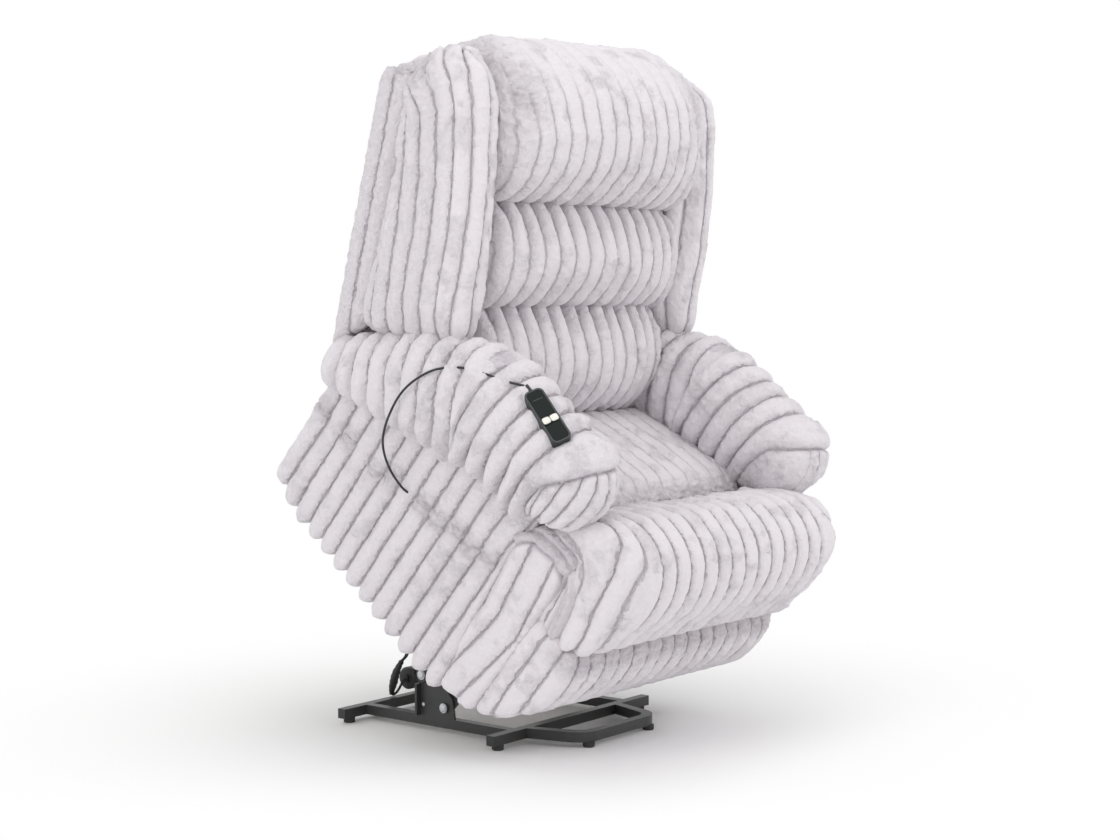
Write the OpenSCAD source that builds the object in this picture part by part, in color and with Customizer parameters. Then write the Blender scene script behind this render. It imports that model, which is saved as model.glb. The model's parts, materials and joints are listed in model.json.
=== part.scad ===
/* [Pose] */
// Forward tilt of the chair at rest, degrees
tilt = 40; // [36:1:44]
// Chair datum behind the front rail at rest
lift_y = -50.5; // [-56:0.5:-45]
// Chair datum above the floor at rest
lift_z = 80.1; // [76:0.1:90]
// Chair datum in front of the front rail when sitting level
level_y = -220; // [-226:1:-214]
// Chair datum above the floor when sitting level
level_z = 24; // [18:1:30]

/* [Base frame] */
// Length of the two cross rails
rail_len = 550; // [520:5:600]
// Side of the square tube
tube = 22; // [20:1:24]
// Wall of the square tube
tube_wall = 1.5; // [1.2:0.1:2]
// Front rail to rear rail, front face to front face
base_depth = 442; // [430:2:460]
// Middle of each side rail from the middle
side_rail_x = 197; // [194:1:200]
// Height of the rubber feet
foot_h = 12; // [10:1:16]
// Diameter of the rubber feet
foot_d = 26; // [22:1:30]
// Foot centre in from the end of a cross rail
foot_inset = 22; // [18:1:40]
// Reach of the front loop
loop_reach = 133; // [120:1:140]
// Half width of the front loop where it meets the rail
loop_half = 159; // [150:1:165]
// Corner half width of the front loop
loop_front_half = 122; // [110:1:130]

/* [Lift linkage] */
// Thickness of the lift plates and links
plate_t = 6; // [5:0.5:6]
// Running gap between plates
plate_gap = 0.6; // [0.4:0.1:0.8]
// Front base pivot, back from the front rail
pivot1_y = 202; // [198:1:206]
// Front base pivot, height
pivot1_z = 58; // [54:1:60]
// Rear base pivot, back from the front rail
pivot2_y = 266; // [262:1:270]
// Rear base pivot, height
pivot2_z = 125; // [122:1:128]
// Height of the front chassis pivot above the chair datum
chassis1_z = 80; // [76:1:84]
// Height of the rear chassis pivot above the chair datum
chassis2_z = 100; // [96:1:104]
// Diameter of the pivot pins
pin_d = 10; // [8:0.5:12]
// Radial running clearance of the pins
run_fit = 0.06; // [0.02:0.01:0.1]
// Radial clearance at the pivots that close the linkages
open_fit = 8; // [7.5:0.5:9]
// Width of a lift link
link_w = 32; // [28:1:36]
// Diameter of the chassis cross tubes
cross_d = 25; // [22:1:28]

/* [Actuator] */
// Rear actuator pin, height
act_z = 62; // [60:1:66]
// Front actuator pin, back on the chair
act_top_y = 300; // [296:1:304]
// Front actuator pin, up on the chair
act_top_z = 180; // [176:1:184]
// Length of the outer tube from the rear pin
act_tube_len = 335; // [320:5:345]
// Diameter of the outer tube
act_tube_d = 36; // [32:1:40]
// Diameter of the rod
rod_d = 22; // [18:1:24]
// Diameter of the motor
motor_d = 52; // [46:1:56]
// Length of the motor
motor_len = 56; // [50:2:70]

/* [Footrest] */
// Folded link pivot on the chassis, back
foot_a_y = 240; // [236:1:246]
// Folded link pivot on the chassis, up
foot_a_z = 262; // [256:1:266]
// Pivot on the footrest bracket, back
foot_c_y = 90; // [86:1:94]
// Pivot on the footrest bracket, up
foot_c_z = 300; // [290:1:310]
// Length of the lower footrest link
foot_link_a = 245; // [240:1:250]
// Length of the upper footrest link
foot_link_b = 230; // [226:1:236]
// Width of the footrest links
foot_link_w = 26; // [22:1:30]
// Thickness of the footrest board
board_t = 18; // [15:1:20]

/* [Upholstery] */
// Half width of the body over its side covers
body_half = 392; // [388:1:396]
// Thickness of a padded side cover
side_pad = 29; // [24:1:34]
// Thickness of the plywood side boards
side_board_t = 18; // [15:1:20]
// Height of the front roll's seam
roll_seam_z = 280; // [270:1:290]
// How far the front roll bulges ahead of the side covers
roll_bulge = 98; // [90:1:104]
// Half width of the head and middle pillows
pillow_half = 316; // [308:1:320]
// Half width of the lower pillow, between the arms
lower_half = 302; // [296:1:304]
// Middle of an arm from the middle
arm_x = 388; // [386:1:394]
// Radius of the arm bolster
arm_r = 85; // [80:1:86]
// Middle of a wing's thick rear part from the middle
wing_x = 374; // [372:1:380]
// Radius of a wing's thick rear part
wing_r = 50; // [44:1:50]
// Middle of a wing's thin front edge from the middle
wing_edge_x = 392; // [388:1:396]
// Radius of a wing's front edge
wing_edge_r = 30; // [24:1:34]
// Slope of the back from upright, degrees
back_slope = 25; // [24:0.5:26]
// Thickness of the rear cover's padding
rear_pad = 95; // [90:1:97]
// Thickness of the back frame
back_frame_t = 38; // [32:1:40]

/* [Handset] */
// Length of the handset
handset_l = 132; // [124:1:144]
// Width of the handset
handset_w = 41; // [39:1:46]
// Thickness of the handset
handset_t = 22; // [20:1:26]
// Diameter of a button
button_d = 13; // [11:0.5:14]
// Diameter of the handset's lead
lead_d = 5; // [4:0.5:6]

/* [Hidden] */

$fn = 48;
eps = 0.01;
// the whole chair's middle, back from the front rail
middle_y = 48.75;
// gap left between soft pieces that touch
soft_gap = 0.4;
steel_black = [0.10, 0.10, 0.11];
zinc = [0.72, 0.73, 0.74];
fur = [0.85, 0.82, 0.86];
fur_shade = [0.80, 0.77, 0.81];
timber = [0.80, 0.66, 0.46];
hard_black = [0.07, 0.07, 0.08];

// ---- linkage geometry, (y, z) pairs ----
function turn(p, a) = [p[0] * cos(a) - p[1] * sin(a), p[0] * sin(a) + p[1] * cos(a)];
function at_rest(p) = turn(p, tilt) + [lift_y, lift_z];
// point on the chassis at height z that is as far from b at rest as when level
function chassis_pivot(b, z) =
    let (u = [lift_y, lift_z] - b, v = [level_y, level_z] - b)
    let (w = turn(u, -tilt) - v, k = (v * v - u * u) / 2)
    [(k - w[1] * z) / w[0], z];
base1 = [pivot1_y, pivot1_z];
base2 = [pivot2_y, pivot2_z];
chassis1 = chassis_pivot(base1, chassis1_z);
chassis2 = chassis_pivot(base2, chassis2_z);
act_y = base_depth + 12;
act_base = [act_y, act_z];
act_top = [act_top_y, act_top_z];
act_span = norm(at_rest(act_top) - act_base);
act_angle = atan2(at_rest(act_top)[1] - act_z, at_rest(act_top)[0] - act_y);
foot_a = [foot_a_y, foot_a_z];
foot_c = [foot_c_y, foot_c_z];
// knee between two links, on the lower side
function knee(p, q, a, b) =
    let (d = norm(q - p), x = (d * d + a * a - b * b) / (2 * d))
    let (h = sqrt(a * a - x * x), e = (q - p) / d)
    p + e * x + [e[1], -e[0]] * h * (e[0] > 0 ? 1 : -1);
foot_b = knee(foot_a, foot_c, foot_link_a, foot_link_b);
back_pivot = [560, 330];

// ---- plate layers on each side, distance from the middle plane ----
bracket_out = side_rail_x + tube / 2;
bracket_in = bracket_out - plate_t;
link_out = bracket_in - plate_gap;
link_in = link_out - plate_t;
rear_link_in = bracket_out + plate_gap;
rear_link_out = rear_link_in + plate_t;
chassis_out = link_in - plate_gap;
chassis_in = chassis_out - plate_t;
foot_a_out = chassis_in - plate_gap;
foot_a_in = foot_a_out - plate_t;
foot_b_out = foot_a_in - plate_gap;
foot_b_in = foot_b_out - plate_t;
rail_top = foot_h + tube;

// ---- placing ----
module on_base() translate([0, -middle_y, 0]) children();
module on_chair() translate([0, lift_y - middle_y, lift_z]) rotate([tilt, 0, 0]) children();
// outline in (y, z) given a thickness along x
module slab(outline, x0, x1)
    translate([x0, 0, 0]) rotate([90, 0, 90]) linear_extrude(x1 - x0) polygon(outline);
module rod_x(p, d, x0, x1)
    translate([x0, p[0], p[1]]) rotate([0, 90, 0]) cylinder(d = d, h = x1 - x0);
module mirrored(side) mirror([side < 0 ? 1 : 0, 0, 0]) children();
module both_sides() { mirrored(1) children(); mirrored(-1) children(); }

// flat link between two (y, z) points, with a bore at each end, and end_w across its far end
module link(p, q, w, x0, x1, bore_p, bore_q, end_w) bar_between(p, q, x0, x1) difference() {
    l = norm(q - p);
    union() {
        circle(d = w);
        translate([l, 0]) circle(d = end_w);
        translate([0, 1 - w / 2]) square([l, w - 2]);
    }
    circle(d = bore_p);
    translate([l, 0]) circle(d = bore_q);
}
// a plate drawn flat along the line from p, standing on its edge from x0 to x1
module bar_between(p, q, x0, x1) {
    d = q - p;
    translate([x0, p[0], p[1]]) rotate([atan2(d[1], d[0]), 0, 0]) rotate([90, 0, 90])
        linear_extrude(x1 - x0) children();
}
module pin(p, d, x0, x1, head_d, head_x, head_t) {
    rod_x(p, d, x0, x1);
    rod_x(p, head_d, head_x, head_x + head_t);
}
pin_bore = pin_d + 2 * run_fit;
open_bore = pin_d + 2 * open_fit;
open_link_w = open_bore + 14;
pin_head = 17;
pin_head_t = 5;

// ---- base frame ----
module square_tube(length) difference() {
    cube([length, tube, tube]);
    translate([-1, tube_wall, tube_wall])
        cube([length + 2, tube - 2 * tube_wall, tube - 2 * tube_wall]);
}
module cross_rail(y) color(steel_black) on_base()
    translate([-rail_len / 2, y, foot_h]) square_tube(rail_len);
module front_cross_rail() cross_rail(0);
module rear_cross_rail() cross_rail(base_depth);
module side_rail(side) color(steel_black) on_base()
    translate([side * side_rail_x + tube / 2, tube, foot_h]) rotate([0, 0, 90])
        square_tube(base_depth - tube);
module left_side_rail() side_rail(-1);
module right_side_rail() side_rail(1);

// arc that rounds corner b of the line a-b-c, as a list of points
function fillet(a, b, c, r) =
    let (u = (a - b) / norm(a - b), v = (c - b) / norm(c - b))
    let (half = acos(u * v) / 2, m = (u + v) / norm(u + v))
    let (o = b + m * r / sin(half), s = b + u * r / tan(half), sweep = 180 - 2 * half)
    let (sgn = cross([u[0], u[1]], [v[0], v[1]]) > 0 ? -1 : 1)
    [for (i = [0:8]) o + turn(s - o, sgn * sweep * i / 8)];
loop_bend = 56;
function loop_line(inset, bend) =
    let (w = loop_half + tube / 2 - inset, f = loop_front_half + tube / 2 - inset)
    let (y = -loop_reach + inset)
    let (q = [[w, 0], [f, y], [-f, y], [-w, 0]])
    concat([q[0]], fillet(q[0], q[1], q[2], bend), fillet(q[1], q[2], q[3], bend), [q[3]]);
module loop_band(inset)
    polygon(concat(loop_line(inset, loop_bend - inset),
        loop_line(tube - inset, loop_bend - tube + inset)),
        [concat([for (i = [0:19]) i], [for (i = [39:-1:20]) i])]);
module front_loop() color(steel_black) on_base() difference() {
    translate([0, 0, foot_h]) linear_extrude(tube) loop_band(0);
    translate([0, 0, foot_h + tube_wall]) linear_extrude(tube - 2 * tube_wall)
        loop_band(tube_wall);
}
foot_points = concat(
    [for (s = [-1, 1]) for (y = [tube / 2, base_depth + tube / 2])
        [s * (rail_len / 2 - foot_inset), y]],
    [for (s = [-1, 1]) [s * (loop_front_half - 14), -loop_reach + tube / 2]]);
foot_lip = 2;
module rubber_feet() color(hard_black) on_base() for (p = foot_points)
    translate([p[0], p[1], 0]) rotate_extrude()
        polygon([[0, 0], [foot_d / 2 - foot_lip, 0], [foot_d / 2, foot_lip],
            [foot_d / 2, foot_h], [0, foot_h]]);
cap_t = 3;
module rail_end_caps() color(hard_black) on_base()
    for (s = [0, 1]) for (y = [0, base_depth]) translate([0, y, foot_h]) mirror([s, 0, 0])
        translate([rail_len / 2, 0, 0]) {
            cube([cap_t, tube, tube]);
            translate([-8, tube_wall, tube_wall])
                cube([8 + eps, tube - 2 * tube_wall, tube - 2 * tube_wall]);
        }

bracket_outline = [[pivot1_y - 27, rail_top], [pivot1_y - 21, pivot1_z + 22],
    [pivot1_y + 20, pivot2_z - 5], [pivot2_y - 16, pivot2_z + 16],
    [pivot2_y + 14, pivot2_z + 14], [pivot2_y + 14, rail_top]];
module base_bracket(side) color(steel_black) on_base() mirrored(side) difference() {
    union() {
        slab(bracket_outline, bracket_in, bracket_out);
        // turned rear edge, welded to the side rail
        translate([bracket_in, pivot2_y + 14 - plate_t, rail_top])
            cube([20, plate_t, pivot2_z - link_w / 2 - 4 - rail_top]);
    }
    rod_x(base1, pin_d, bracket_in - 1, bracket_out + 1);
    rod_x(base2, pin_d, bracket_in - 1, bracket_out + 1);
}
module left_base_bracket() base_bracket(-1);
module right_base_bracket() base_bracket(1);
module base_pivot_pins() color(zinc) on_base() both_sides() {
    pin(base1, pin_d, link_in, bracket_out + eps, pin_head, bracket_out, pin_head_t);
    pin(base2, pin_d, bracket_in - eps, rear_link_out, pin_head, bracket_in - pin_head_t,
        pin_head_t);
}

clevis_half = 18;
clevis_t = 4;
clevis_r = 14;
module actuator_rear_clevis() color(steel_black) on_base() {
    both_sides() difference() {
        union() {
            slab([[act_y - clevis_r, rail_top], [act_y - clevis_r, act_z],
                [base_depth + tube, act_z], [base_depth + tube, rail_top]],
                clevis_half - clevis_t, clevis_half);
            rod_x(act_base, 2 * clevis_r, clevis_half - clevis_t, clevis_half);
        }
        rod_x(act_base, pin_d, clevis_half - clevis_t - 1, clevis_half + 1);
    }
    rod_x(act_base, pin_d, -clevis_half, clevis_half);
}

// ---- lift links ----
module front_lift_link(side) color(steel_black) on_base() mirrored(side)
    link(base1, at_rest(chassis1), link_w, link_in, link_out, pin_bore, pin_bore, link_w);
module rear_lift_link(side) color(steel_black) on_base() mirrored(side)
    link(base2, at_rest(chassis2), link_w, rear_link_in, rear_link_out, pin_bore, open_bore,
        open_link_w);
module left_front_lift_link() front_lift_link(-1);
module right_front_lift_link() front_lift_link(1);
module left_rear_lift_link() rear_lift_link(-1);
module right_rear_lift_link() rear_lift_link(1);

// ---- chassis ----
seat_rail_z = 292;
front_tube = [345, 215];
rear_tube = [600, 190];
plate_outline = [[chassis1[0] - 16, chassis1[1] - 20], [chassis2[0] + 22, chassis2[1] - 22],
    [320, 160], [620, 160], [650, 200], [640, 280], [590, 330], [575, 352], [545, 352],
    [520, seat_rail_z], [250, seat_rail_z], [215, 280], [chassis1[0] - 20, 130]];
module chassis_plate(side) color(steel_black) on_chair() mirrored(side) difference() {
    slab(plate_outline, chassis_in, chassis_out);
    for (p = [chassis1, chassis2, foot_a, back_pivot])
        rod_x(p, pin_d, chassis_in - 1, chassis_out + 1);
    for (p = [[400, 225], [480, 225], [560, 250]])
        rod_x(p, 26, chassis_in - 1, chassis_out + 1);
}
module left_chassis_plate() chassis_plate(-1);
module right_chassis_plate() chassis_plate(1);
module chassis_cross_tubes() color(steel_black) on_chair() for (p = [front_tube, rear_tube])
    difference() {
        rod_x(p, cross_d, -chassis_in, chassis_in);
        rod_x(p, cross_d - 4, -chassis_in - 1, chassis_in + 1);
    }
hinge_plate_out = link_out;
module chassis_pins() color(zinc) on_chair() both_sides() {
    pin(chassis1, pin_d, chassis_in - eps, link_out, pin_head, chassis_in - pin_head_t,
        pin_head_t);
    pin(chassis2, pin_d, chassis_in - eps, rear_link_out, pin_head, chassis_in - pin_head_t,
        pin_head_t);
    pin(back_pivot, pin_d, chassis_in - eps, hinge_plate_out, pin_head,
        chassis_in - pin_head_t, pin_head_t);
    pin(foot_a, pin_d, foot_a_in, chassis_out, pin_head, chassis_out, pin_head_t);
}
// ears on the front cross tube; each ear holds its own stub pin beside the rod's eye
ear_in = 13;
ear_t = 5;
ear_r = 15;
ear_run = norm(front_tube - act_top);
module actuator_front_clevis() color(steel_black) on_chair() both_sides() {
    bar_between(act_top, front_tube, ear_in, ear_in + ear_t) difference() {
        union() {
            circle(r = ear_r);
            translate([0, 1 - ear_r]) square([ear_run - 6, 2 * ear_r - 2]);
        }
        translate([ear_run, 0]) circle(d = cross_d);
    }
    rod_x(act_top, pin_head, ear_in + ear_t - eps, ear_in + ear_t + 4);
}

// ---- actuator, along its own axis from the rear pin ----
module on_actuator() on_base() translate([0, act_base[0], act_base[1]])
    rotate([act_angle, 0, 0]) children();
gear_half = clevis_half - clevis_t - plate_gap;
gear_len = 62;
gear_h = 50;
module actuator_gearbox() color(hard_black) on_actuator() difference() {
    union() {
        rotate([0, 90, 0]) translate([0, 0, -gear_half]) cylinder(d = 26, h = 2 * gear_half);
        translate([-gear_half, 0, -11]) cube([2 * gear_half, 20, 22]);
        translate([-gear_half - 9, 18, -gear_h / 2])
            cube([2 * gear_half + 18, gear_len - 18, gear_h]);
        translate([0, gear_len - eps, 0]) rotate([-90, 0, 0])
            cylinder(d = act_tube_d + 8, h = 10);
    }
    rotate([0, 90, 0]) cylinder(d = pin_bore, h = 60, center = true);
    translate([0, gear_len - 4, 0]) rotate([-90, 0, 0]) cylinder(d = act_tube_d, h = 20);
}
motor_y = 20;
module actuator_motor() color(hard_black) on_actuator()
    translate([-gear_half - 9, motor_y, 0]) rotate([0, -90, 0]) rotate_extrude()
        polygon([[0, 0], [motor_d / 2, 0], [motor_d / 2, motor_len - 4],
            [motor_d / 2 - 4, motor_len], [9, motor_len], [9, motor_len + 4],
            [0, motor_len + 4]]);
module actuator_tube() color(steel_black) on_actuator() difference() {
    translate([0, gear_len - 4, 0]) rotate([-90, 0, 0])
        cylinder(d = act_tube_d, h = act_tube_len - gear_len + 4);
    translate([0, gear_len, 0]) rotate([-90, 0, 0])
        cylinder(d = rod_d + 2 * run_fit, h = act_tube_len);
}
rod_in_tube = 60;
rod_eye = 22;
module actuator_rod() color(zinc) on_actuator() difference() {
    union() {
        translate([0, act_tube_len - rod_in_tube, 0]) rotate([-90, 0, 0])
            cylinder(d = rod_d, h = act_span - act_tube_len + rod_in_tube - 8);
        translate([0, act_span, 0]) rotate([0, 90, 0])
            cylinder(d = rod_eye, h = 2 * ear_in - 2, center = true);
    }
    translate([0, act_span, 0]) rotate([0, 90, 0])
        cylinder(d = pin_d + 2 * run_fit, h = 2 * ear_in, center = true);
}

// ---- timber body ----
board_out = body_half - side_pad - soft_gap;
board_in = board_out - side_board_t;
seat_half = board_in - 14.6;
seat_rail_h = 38;
seat_rail_t = 22;
seat_front_y = 158;
seat_rear_y = 490;
module timber_rail(y, z, t, h) translate([-board_in, y, z]) cube([2 * board_in, t, h]);
module seat_rails() color(timber) on_chair() {
    timber_rail(seat_front_y, seat_rail_z, seat_rail_t, seat_rail_h);
    timber_rail(seat_rear_y, seat_rail_z, seat_rail_t, seat_rail_h);
}
rear_rail_y = 715;
rear_rail_z = 190;
rear_rail_h = 100;
module rear_rail() color(timber) on_chair()
    timber_rail(rear_rail_y, rear_rail_z, seat_rail_t, rear_rail_h);
// zigzag wire springs between the seat rails
spring_count = 6;
spring_pitch = 26;
spring_amp = 40;
wire = 4;
spring_bars = floor((seat_rear_y - seat_front_y - seat_rail_t) / spring_pitch);
spring_start = seat_front_y + seat_rail_t;
spring_z = seat_rail_z + seat_rail_h - wire;
spring_step = 2 * (seat_half - 60) / (spring_count - 1);
module half_ring(side) intersection() {
    difference() {
        circle(d = spring_pitch + wire);
        circle(d = spring_pitch - wire);
    }
    translate([side > 0 ? 0 : -spring_pitch, -spring_pitch])
        square([spring_pitch, 2 * spring_pitch]);
}
module spring_plan() {
    for (i = [0:spring_bars])
        translate([-spring_amp / 2, i * spring_pitch - wire / 2]) square([spring_amp, wire]);
    for (i = [0:spring_bars - 1])
        translate([(i % 2 == 0 ? 1 : -1) * spring_amp / 2, (i + 0.5) * spring_pitch])
            half_ring(i % 2 == 0 ? 1 : -1);
}
spring_lead = (seat_rear_y - spring_start - spring_bars * spring_pitch) / 2;
module seat_springs() color(zinc) on_chair() for (k = [0:spring_count - 1])
    translate([-(seat_half - 60) + k * spring_step, spring_start + spring_lead, spring_z]) {
        linear_extrude(wire) spring_plan();
        // straight tails hooked on the rails
        translate([-wire / 2, -spring_lead, 0]) cube([wire, spring_lead, wire]);
        translate([-wire / 2, spring_bars * spring_pitch, 0]) cube([wire, spring_lead, wire]);
    }
// slope of the line under the arms, front to rear
arm_front = [145, 568];
arm_mid = [400, 565];
arm_low = [565, 478];
arm_rear = [752, 343];
arm_rear_r = 46;
seam_run = arm_rear - arm_front;
seam_drop = atan2(seam_run[1], seam_run[0]);
seam_half = asin((arm_r - arm_rear_r) / norm(seam_run));
seam_angle = seam_drop + seam_half;
// a point on the line that touches the underside of the arm, at depth y
seam_touch = arm_front + arm_r * [sin(seam_angle), -cos(seam_angle)];
function seam_z(y) = seam_touch[1] + (y - seam_touch[0]) * tan(seam_angle);
hem_z = -14;
hem_rear_z = 14;
front_line_low = [135, hem_z + 4];
front_line_top = [180, 398];
side_rear_y = 771;
module side_board(side) color(timber) on_chair() mirrored(side)
    slab([[190, 60], [190, seam_z(190) - soft_gap], [740, seam_z(740) - soft_gap],
        [752, 290], [752, 60]], board_in, board_out);
module left_side_board() side_board(-1);
module right_side_board() side_board(1);
module side_cover(side) color(fur_shade) on_chair() mirrored(side)
    slab([front_line_low, front_line_top, [172, seam_z(172) - soft_gap],
        [765, seam_z(765) - soft_gap], [side_rear_y, 250], [side_rear_y, hem_rear_z],
        [680, hem_z], [200, hem_z]],
        body_half - side_pad, body_half);
module left_side_cover() side_cover(-1);
module right_side_cover() side_cover(1);
// inner foot of an arm, lying on the seat's edge against the side board
arm_foot = [[200, 490], [470, 434]];
arm_foot_r = 20;
module arm(side) color(fur) on_chair() mirrored(side) difference() {
    hull() {
        for (p = [arm_front, arm_mid]) translate([arm_x, p[0], p[1]]) sphere(arm_r, $fn = 32);
        translate([arm_x, arm_low[0], arm_low[1]]) sphere(arm_r - 8, $fn = 32);
        translate([arm_x, arm_rear[0], arm_rear[1]]) sphere(arm_rear_r, $fn = 32);
        for (p = arm_foot) translate([board_in - soft_gap - arm_foot_r, p[0], p[1]])
            sphere(arm_foot_r, $fn = 24);
    }
    // room for the side board and its cover
    slab([[40, seam_z(40)], [40, 200], [810, 200], [810, seam_z(810)]],
        board_in - soft_gap, arm_x + arm_r + 1);
    // room for the seat cushion
    rotate([90, 0, 90]) linear_extrude(seat_half + soft_gap) offset(delta = soft_gap)
        polygon(seat_profile);
}
module left_arm() arm(-1);
module right_arm() arm(1);
seat_under = seat_rail_z + seat_rail_h + soft_gap;
seat_profile = [[152, seat_under], [147, 425], [156, 446], [200, 462], [300, 448], [400, 425],
    [470, 408], [495, 396], [500, 385], [500, seat_under]];
module seat_cushion() color(fur) on_chair() slab(seat_profile, -seat_half, seat_half);
dust_t = 16;
module rear_dust_panel() color(fur_shade) on_chair()
    translate([-board_in, side_rear_y - dust_t - 3, hem_rear_z])
        cube([2 * board_in, dust_t, 290]);
box_half = 75;
module control_box() color(hard_black) on_chair()
    translate([-box_half, rear_rail_y - 38, rear_rail_z + 14]) cube([2 * box_half, 38, 70]);

// ---- back, along its own slope ----
back_foot = [747, 390];
back_dir = [sin(back_slope), cos(back_slope)];
back_front = [-cos(back_slope), sin(back_slope)];
// s runs up the slope, t runs forward from the rear cover's front face
function back_pt(s, t) = back_foot + back_dir * s + back_front * t;
// a rounded bar running up the slope, to trim the ends of a cushion
module back_trim(half_w, t0, t1, r) translate([0, back_foot[0], back_foot[1]])
    rotate([-back_slope, 0, 0]) translate([0, 0, -300]) linear_extrude(1300) union() {
        translate([-half_w, -t1 + r]) square([2 * half_w, t1 - t0 - 2 * r]);
        translate([-half_w + r, -t1]) square([2 * (half_w - r), t1 - t0]);
        for (s = [-1, 1]) for (y = [-t1 + r, -t0 - r])
            translate([s * (half_w - r), y]) circle(r);
    }
frame_low = 62;
frame_top = 560;
stile = 60;
stile_in = link_out + soft_gap;
rung_up = 76;
module back_frame() color(timber) on_chair() translate([0, back_foot[0], back_foot[1]])
    rotate([-back_slope, 0, 0]) {
        for (s = [0, 1]) mirror([s, 0, 0])
            translate([stile_in, -back_frame_t - soft_gap, frame_low])
                cube([stile, back_frame_t, frame_top - frame_low]);
        for (z = [frame_low + rung_up, 280, 420, frame_top - stile])
            translate([-stile_in, -back_frame_t - soft_gap, z])
                cube([2 * stile_in, back_frame_t, stile]);
    }
module back_hinge_plates() color(steel_black) on_chair() both_sides() difference() {
    union() {
        rod_x(back_pivot, 36, link_in, link_out);
        // the upper end laps the inner face of the stile
        slab([back_pivot + [-6, 16], back_pt(frame_low + rung_up - 4, back_frame_t),
            back_pt(frame_low + rung_up - 4, 4), back_pt(frame_low, 4),
            back_pivot + [8, -15]], link_in, link_out);
    }
    rod_x(back_pivot, pin_bore, link_in - 1, link_out + 1);
}
cover_half = 396;
cover_profile = concat([back_pt(92, 0), back_pt(-10, -rear_pad), back_pt(500, -rear_pad)],
    [for (a = [0:15:90]) back_pt(545 + 70 * sin(a), -rear_pad + 70 * (1 - cos(a)))],
    [back_pt(615, -8), back_pt(600, 0)]);
module rear_cover() color(fur_shade) on_chair() intersection() {
    slab(cover_profile, -cover_half, cover_half);
    back_trim(cover_half, -rear_pad, 40, 40);
}
pillow_back = back_frame_t + 2 * soft_gap;
seam2 = [610, 617];
seam1 = [735, 804];
module pillow(outline, half_w) color(fur) on_chair() intersection() {
    slab(outline, -half_w, half_w);
    back_trim(half_w, pillow_back - 60, 330, 45);
}
// outline across the chair, up the slope, with its top corners rounded off
module crown(half_w, top, r) translate([0, back_foot[0], back_foot[1]])
    rotate([-back_slope, 0, 0]) rotate([90, 0, 0]) translate([0, 0, -150])
        linear_extrude(500) union() {
            translate([-half_w, 0]) square([2 * half_w, top - r]);
            translate([-half_w + r, 0]) square([2 * (half_w - r), top]);
            for (s = [-1, 1]) translate([s * (half_w - r), top - r]) circle(r);
        }
module lower_pillow() pillow([[500, 399], [484, 425], [482, 450], [485, 500], [505, 550], [545, 592],
    seam2 + [2, -2], back_pt(204, pillow_back), back_pt(150, pillow_back),
    back_pt(120, pillow_back + 8), [640, 440], [560, 392]], lower_half);
module middle_pillow() pillow([seam2, [585, 640], [590, 690], [620, 750], [670, 792],
    seam1 + [1, -2], back_pt(404, pillow_back), back_pt(208, pillow_back)], pillow_half);
head_top = 708;
head_corner = 90;
module head_pillow() intersection() {
    pillow([seam1, [700, 826], [690, 870], [702, 930], [735, 990], [790, 1040], [860, 1068],
        [930, 1074], [985, 1058], back_pt(622, -28), back_pt(619, pillow_back - 40),
        back_pt(566, pillow_back), back_pt(408, pillow_back)], pillow_half);
    on_chair() crown(pillow_half, head_top, head_corner);
}
wing_edge = [[565, 615], [632, 750], [703, 862], [800, 985], [842, 1018]];
wing_rear = [[900, 997], back_pt(591, wing_r + 0.25), back_pt(120, wing_r + 0.25), [625, 634]];
module wing(side) color(fur) on_chair() mirrored(side) hull() {
    for (p = wing_edge) translate([wing_edge_x, p[0], p[1]]) sphere(wing_edge_r, $fn = 24);
    for (p = wing_rear) translate([wing_x, p[0], p[1]]) sphere(wing_r, $fn = 32);
}
module left_wing() wing(-1);
module right_wing() wing(1);

// ---- footrest ----
module footrest_lower_links() color(steel_black) on_chair() both_sides()
    link(foot_a, foot_b, foot_link_w, foot_a_in, foot_a_out, pin_bore, pin_bore, foot_link_w);
module footrest_upper_links() color(steel_black) on_chair() {
    both_sides() {
        difference() {
            link(foot_b, foot_c, foot_link_w, foot_b_in, foot_b_out, pin_d, pin_bore, foot_link_w);
            rod_x((foot_b + foot_c) / 2, 20, foot_b_in - 1, foot_b_out + 1);
        }
        pin(foot_b, pin_d, foot_b_in, foot_a_out, pin_head, foot_b_in - pin_head_t, pin_head_t);
    }
    rod_x((foot_b + foot_c) / 2, 20, -foot_b_out, foot_b_out);
}
board_y = 40;
board_z0 = 60;
board_z1 = 440;
board_half = board_in;
module footrest_board() color(timber) on_chair()
    translate([-board_half, board_y, board_z0])
        cube([2 * board_half, board_t, board_z1 - board_z0]);
foot_tab_h = 90;
module footrest_brackets() color(steel_black) on_chair() both_sides() {
    difference() {
        union() {
            rod_x(foot_c, foot_link_w, foot_a_in, foot_a_out);
            translate([foot_a_in, board_y + board_t, foot_c_z - foot_link_w / 2])
                cube([plate_t, foot_c_y - board_y - board_t, foot_link_w]);
            translate([foot_a_in, board_y + board_t, foot_c_z - foot_tab_h / 2])
                cube([plate_t + 24, 4, foot_tab_h]);
        }
        rod_x(foot_c, pin_d, foot_a_in - 1, foot_a_out + 1);
    }
    pin(foot_c, pin_d, foot_b_in, foot_a_out, pin_head, foot_b_in - pin_head_t, pin_head_t);
}
roll_half = body_half - 12;
roll_round = 70;
module front_trim() translate([0, 0, -10]) linear_extrude(600) union() {
    translate([-roll_half, roll_round - roll_bulge]) square([2 * roll_half, 260]);
    translate([-roll_half + roll_round, -roll_bulge])
        square([2 * (roll_half - roll_round), 260]);
    for (s = [-1, 1]) translate([s * (roll_half - roll_round), roll_round - roll_bulge])
        circle(roll_round);
}
roll_back = board_y - soft_gap;
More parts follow.
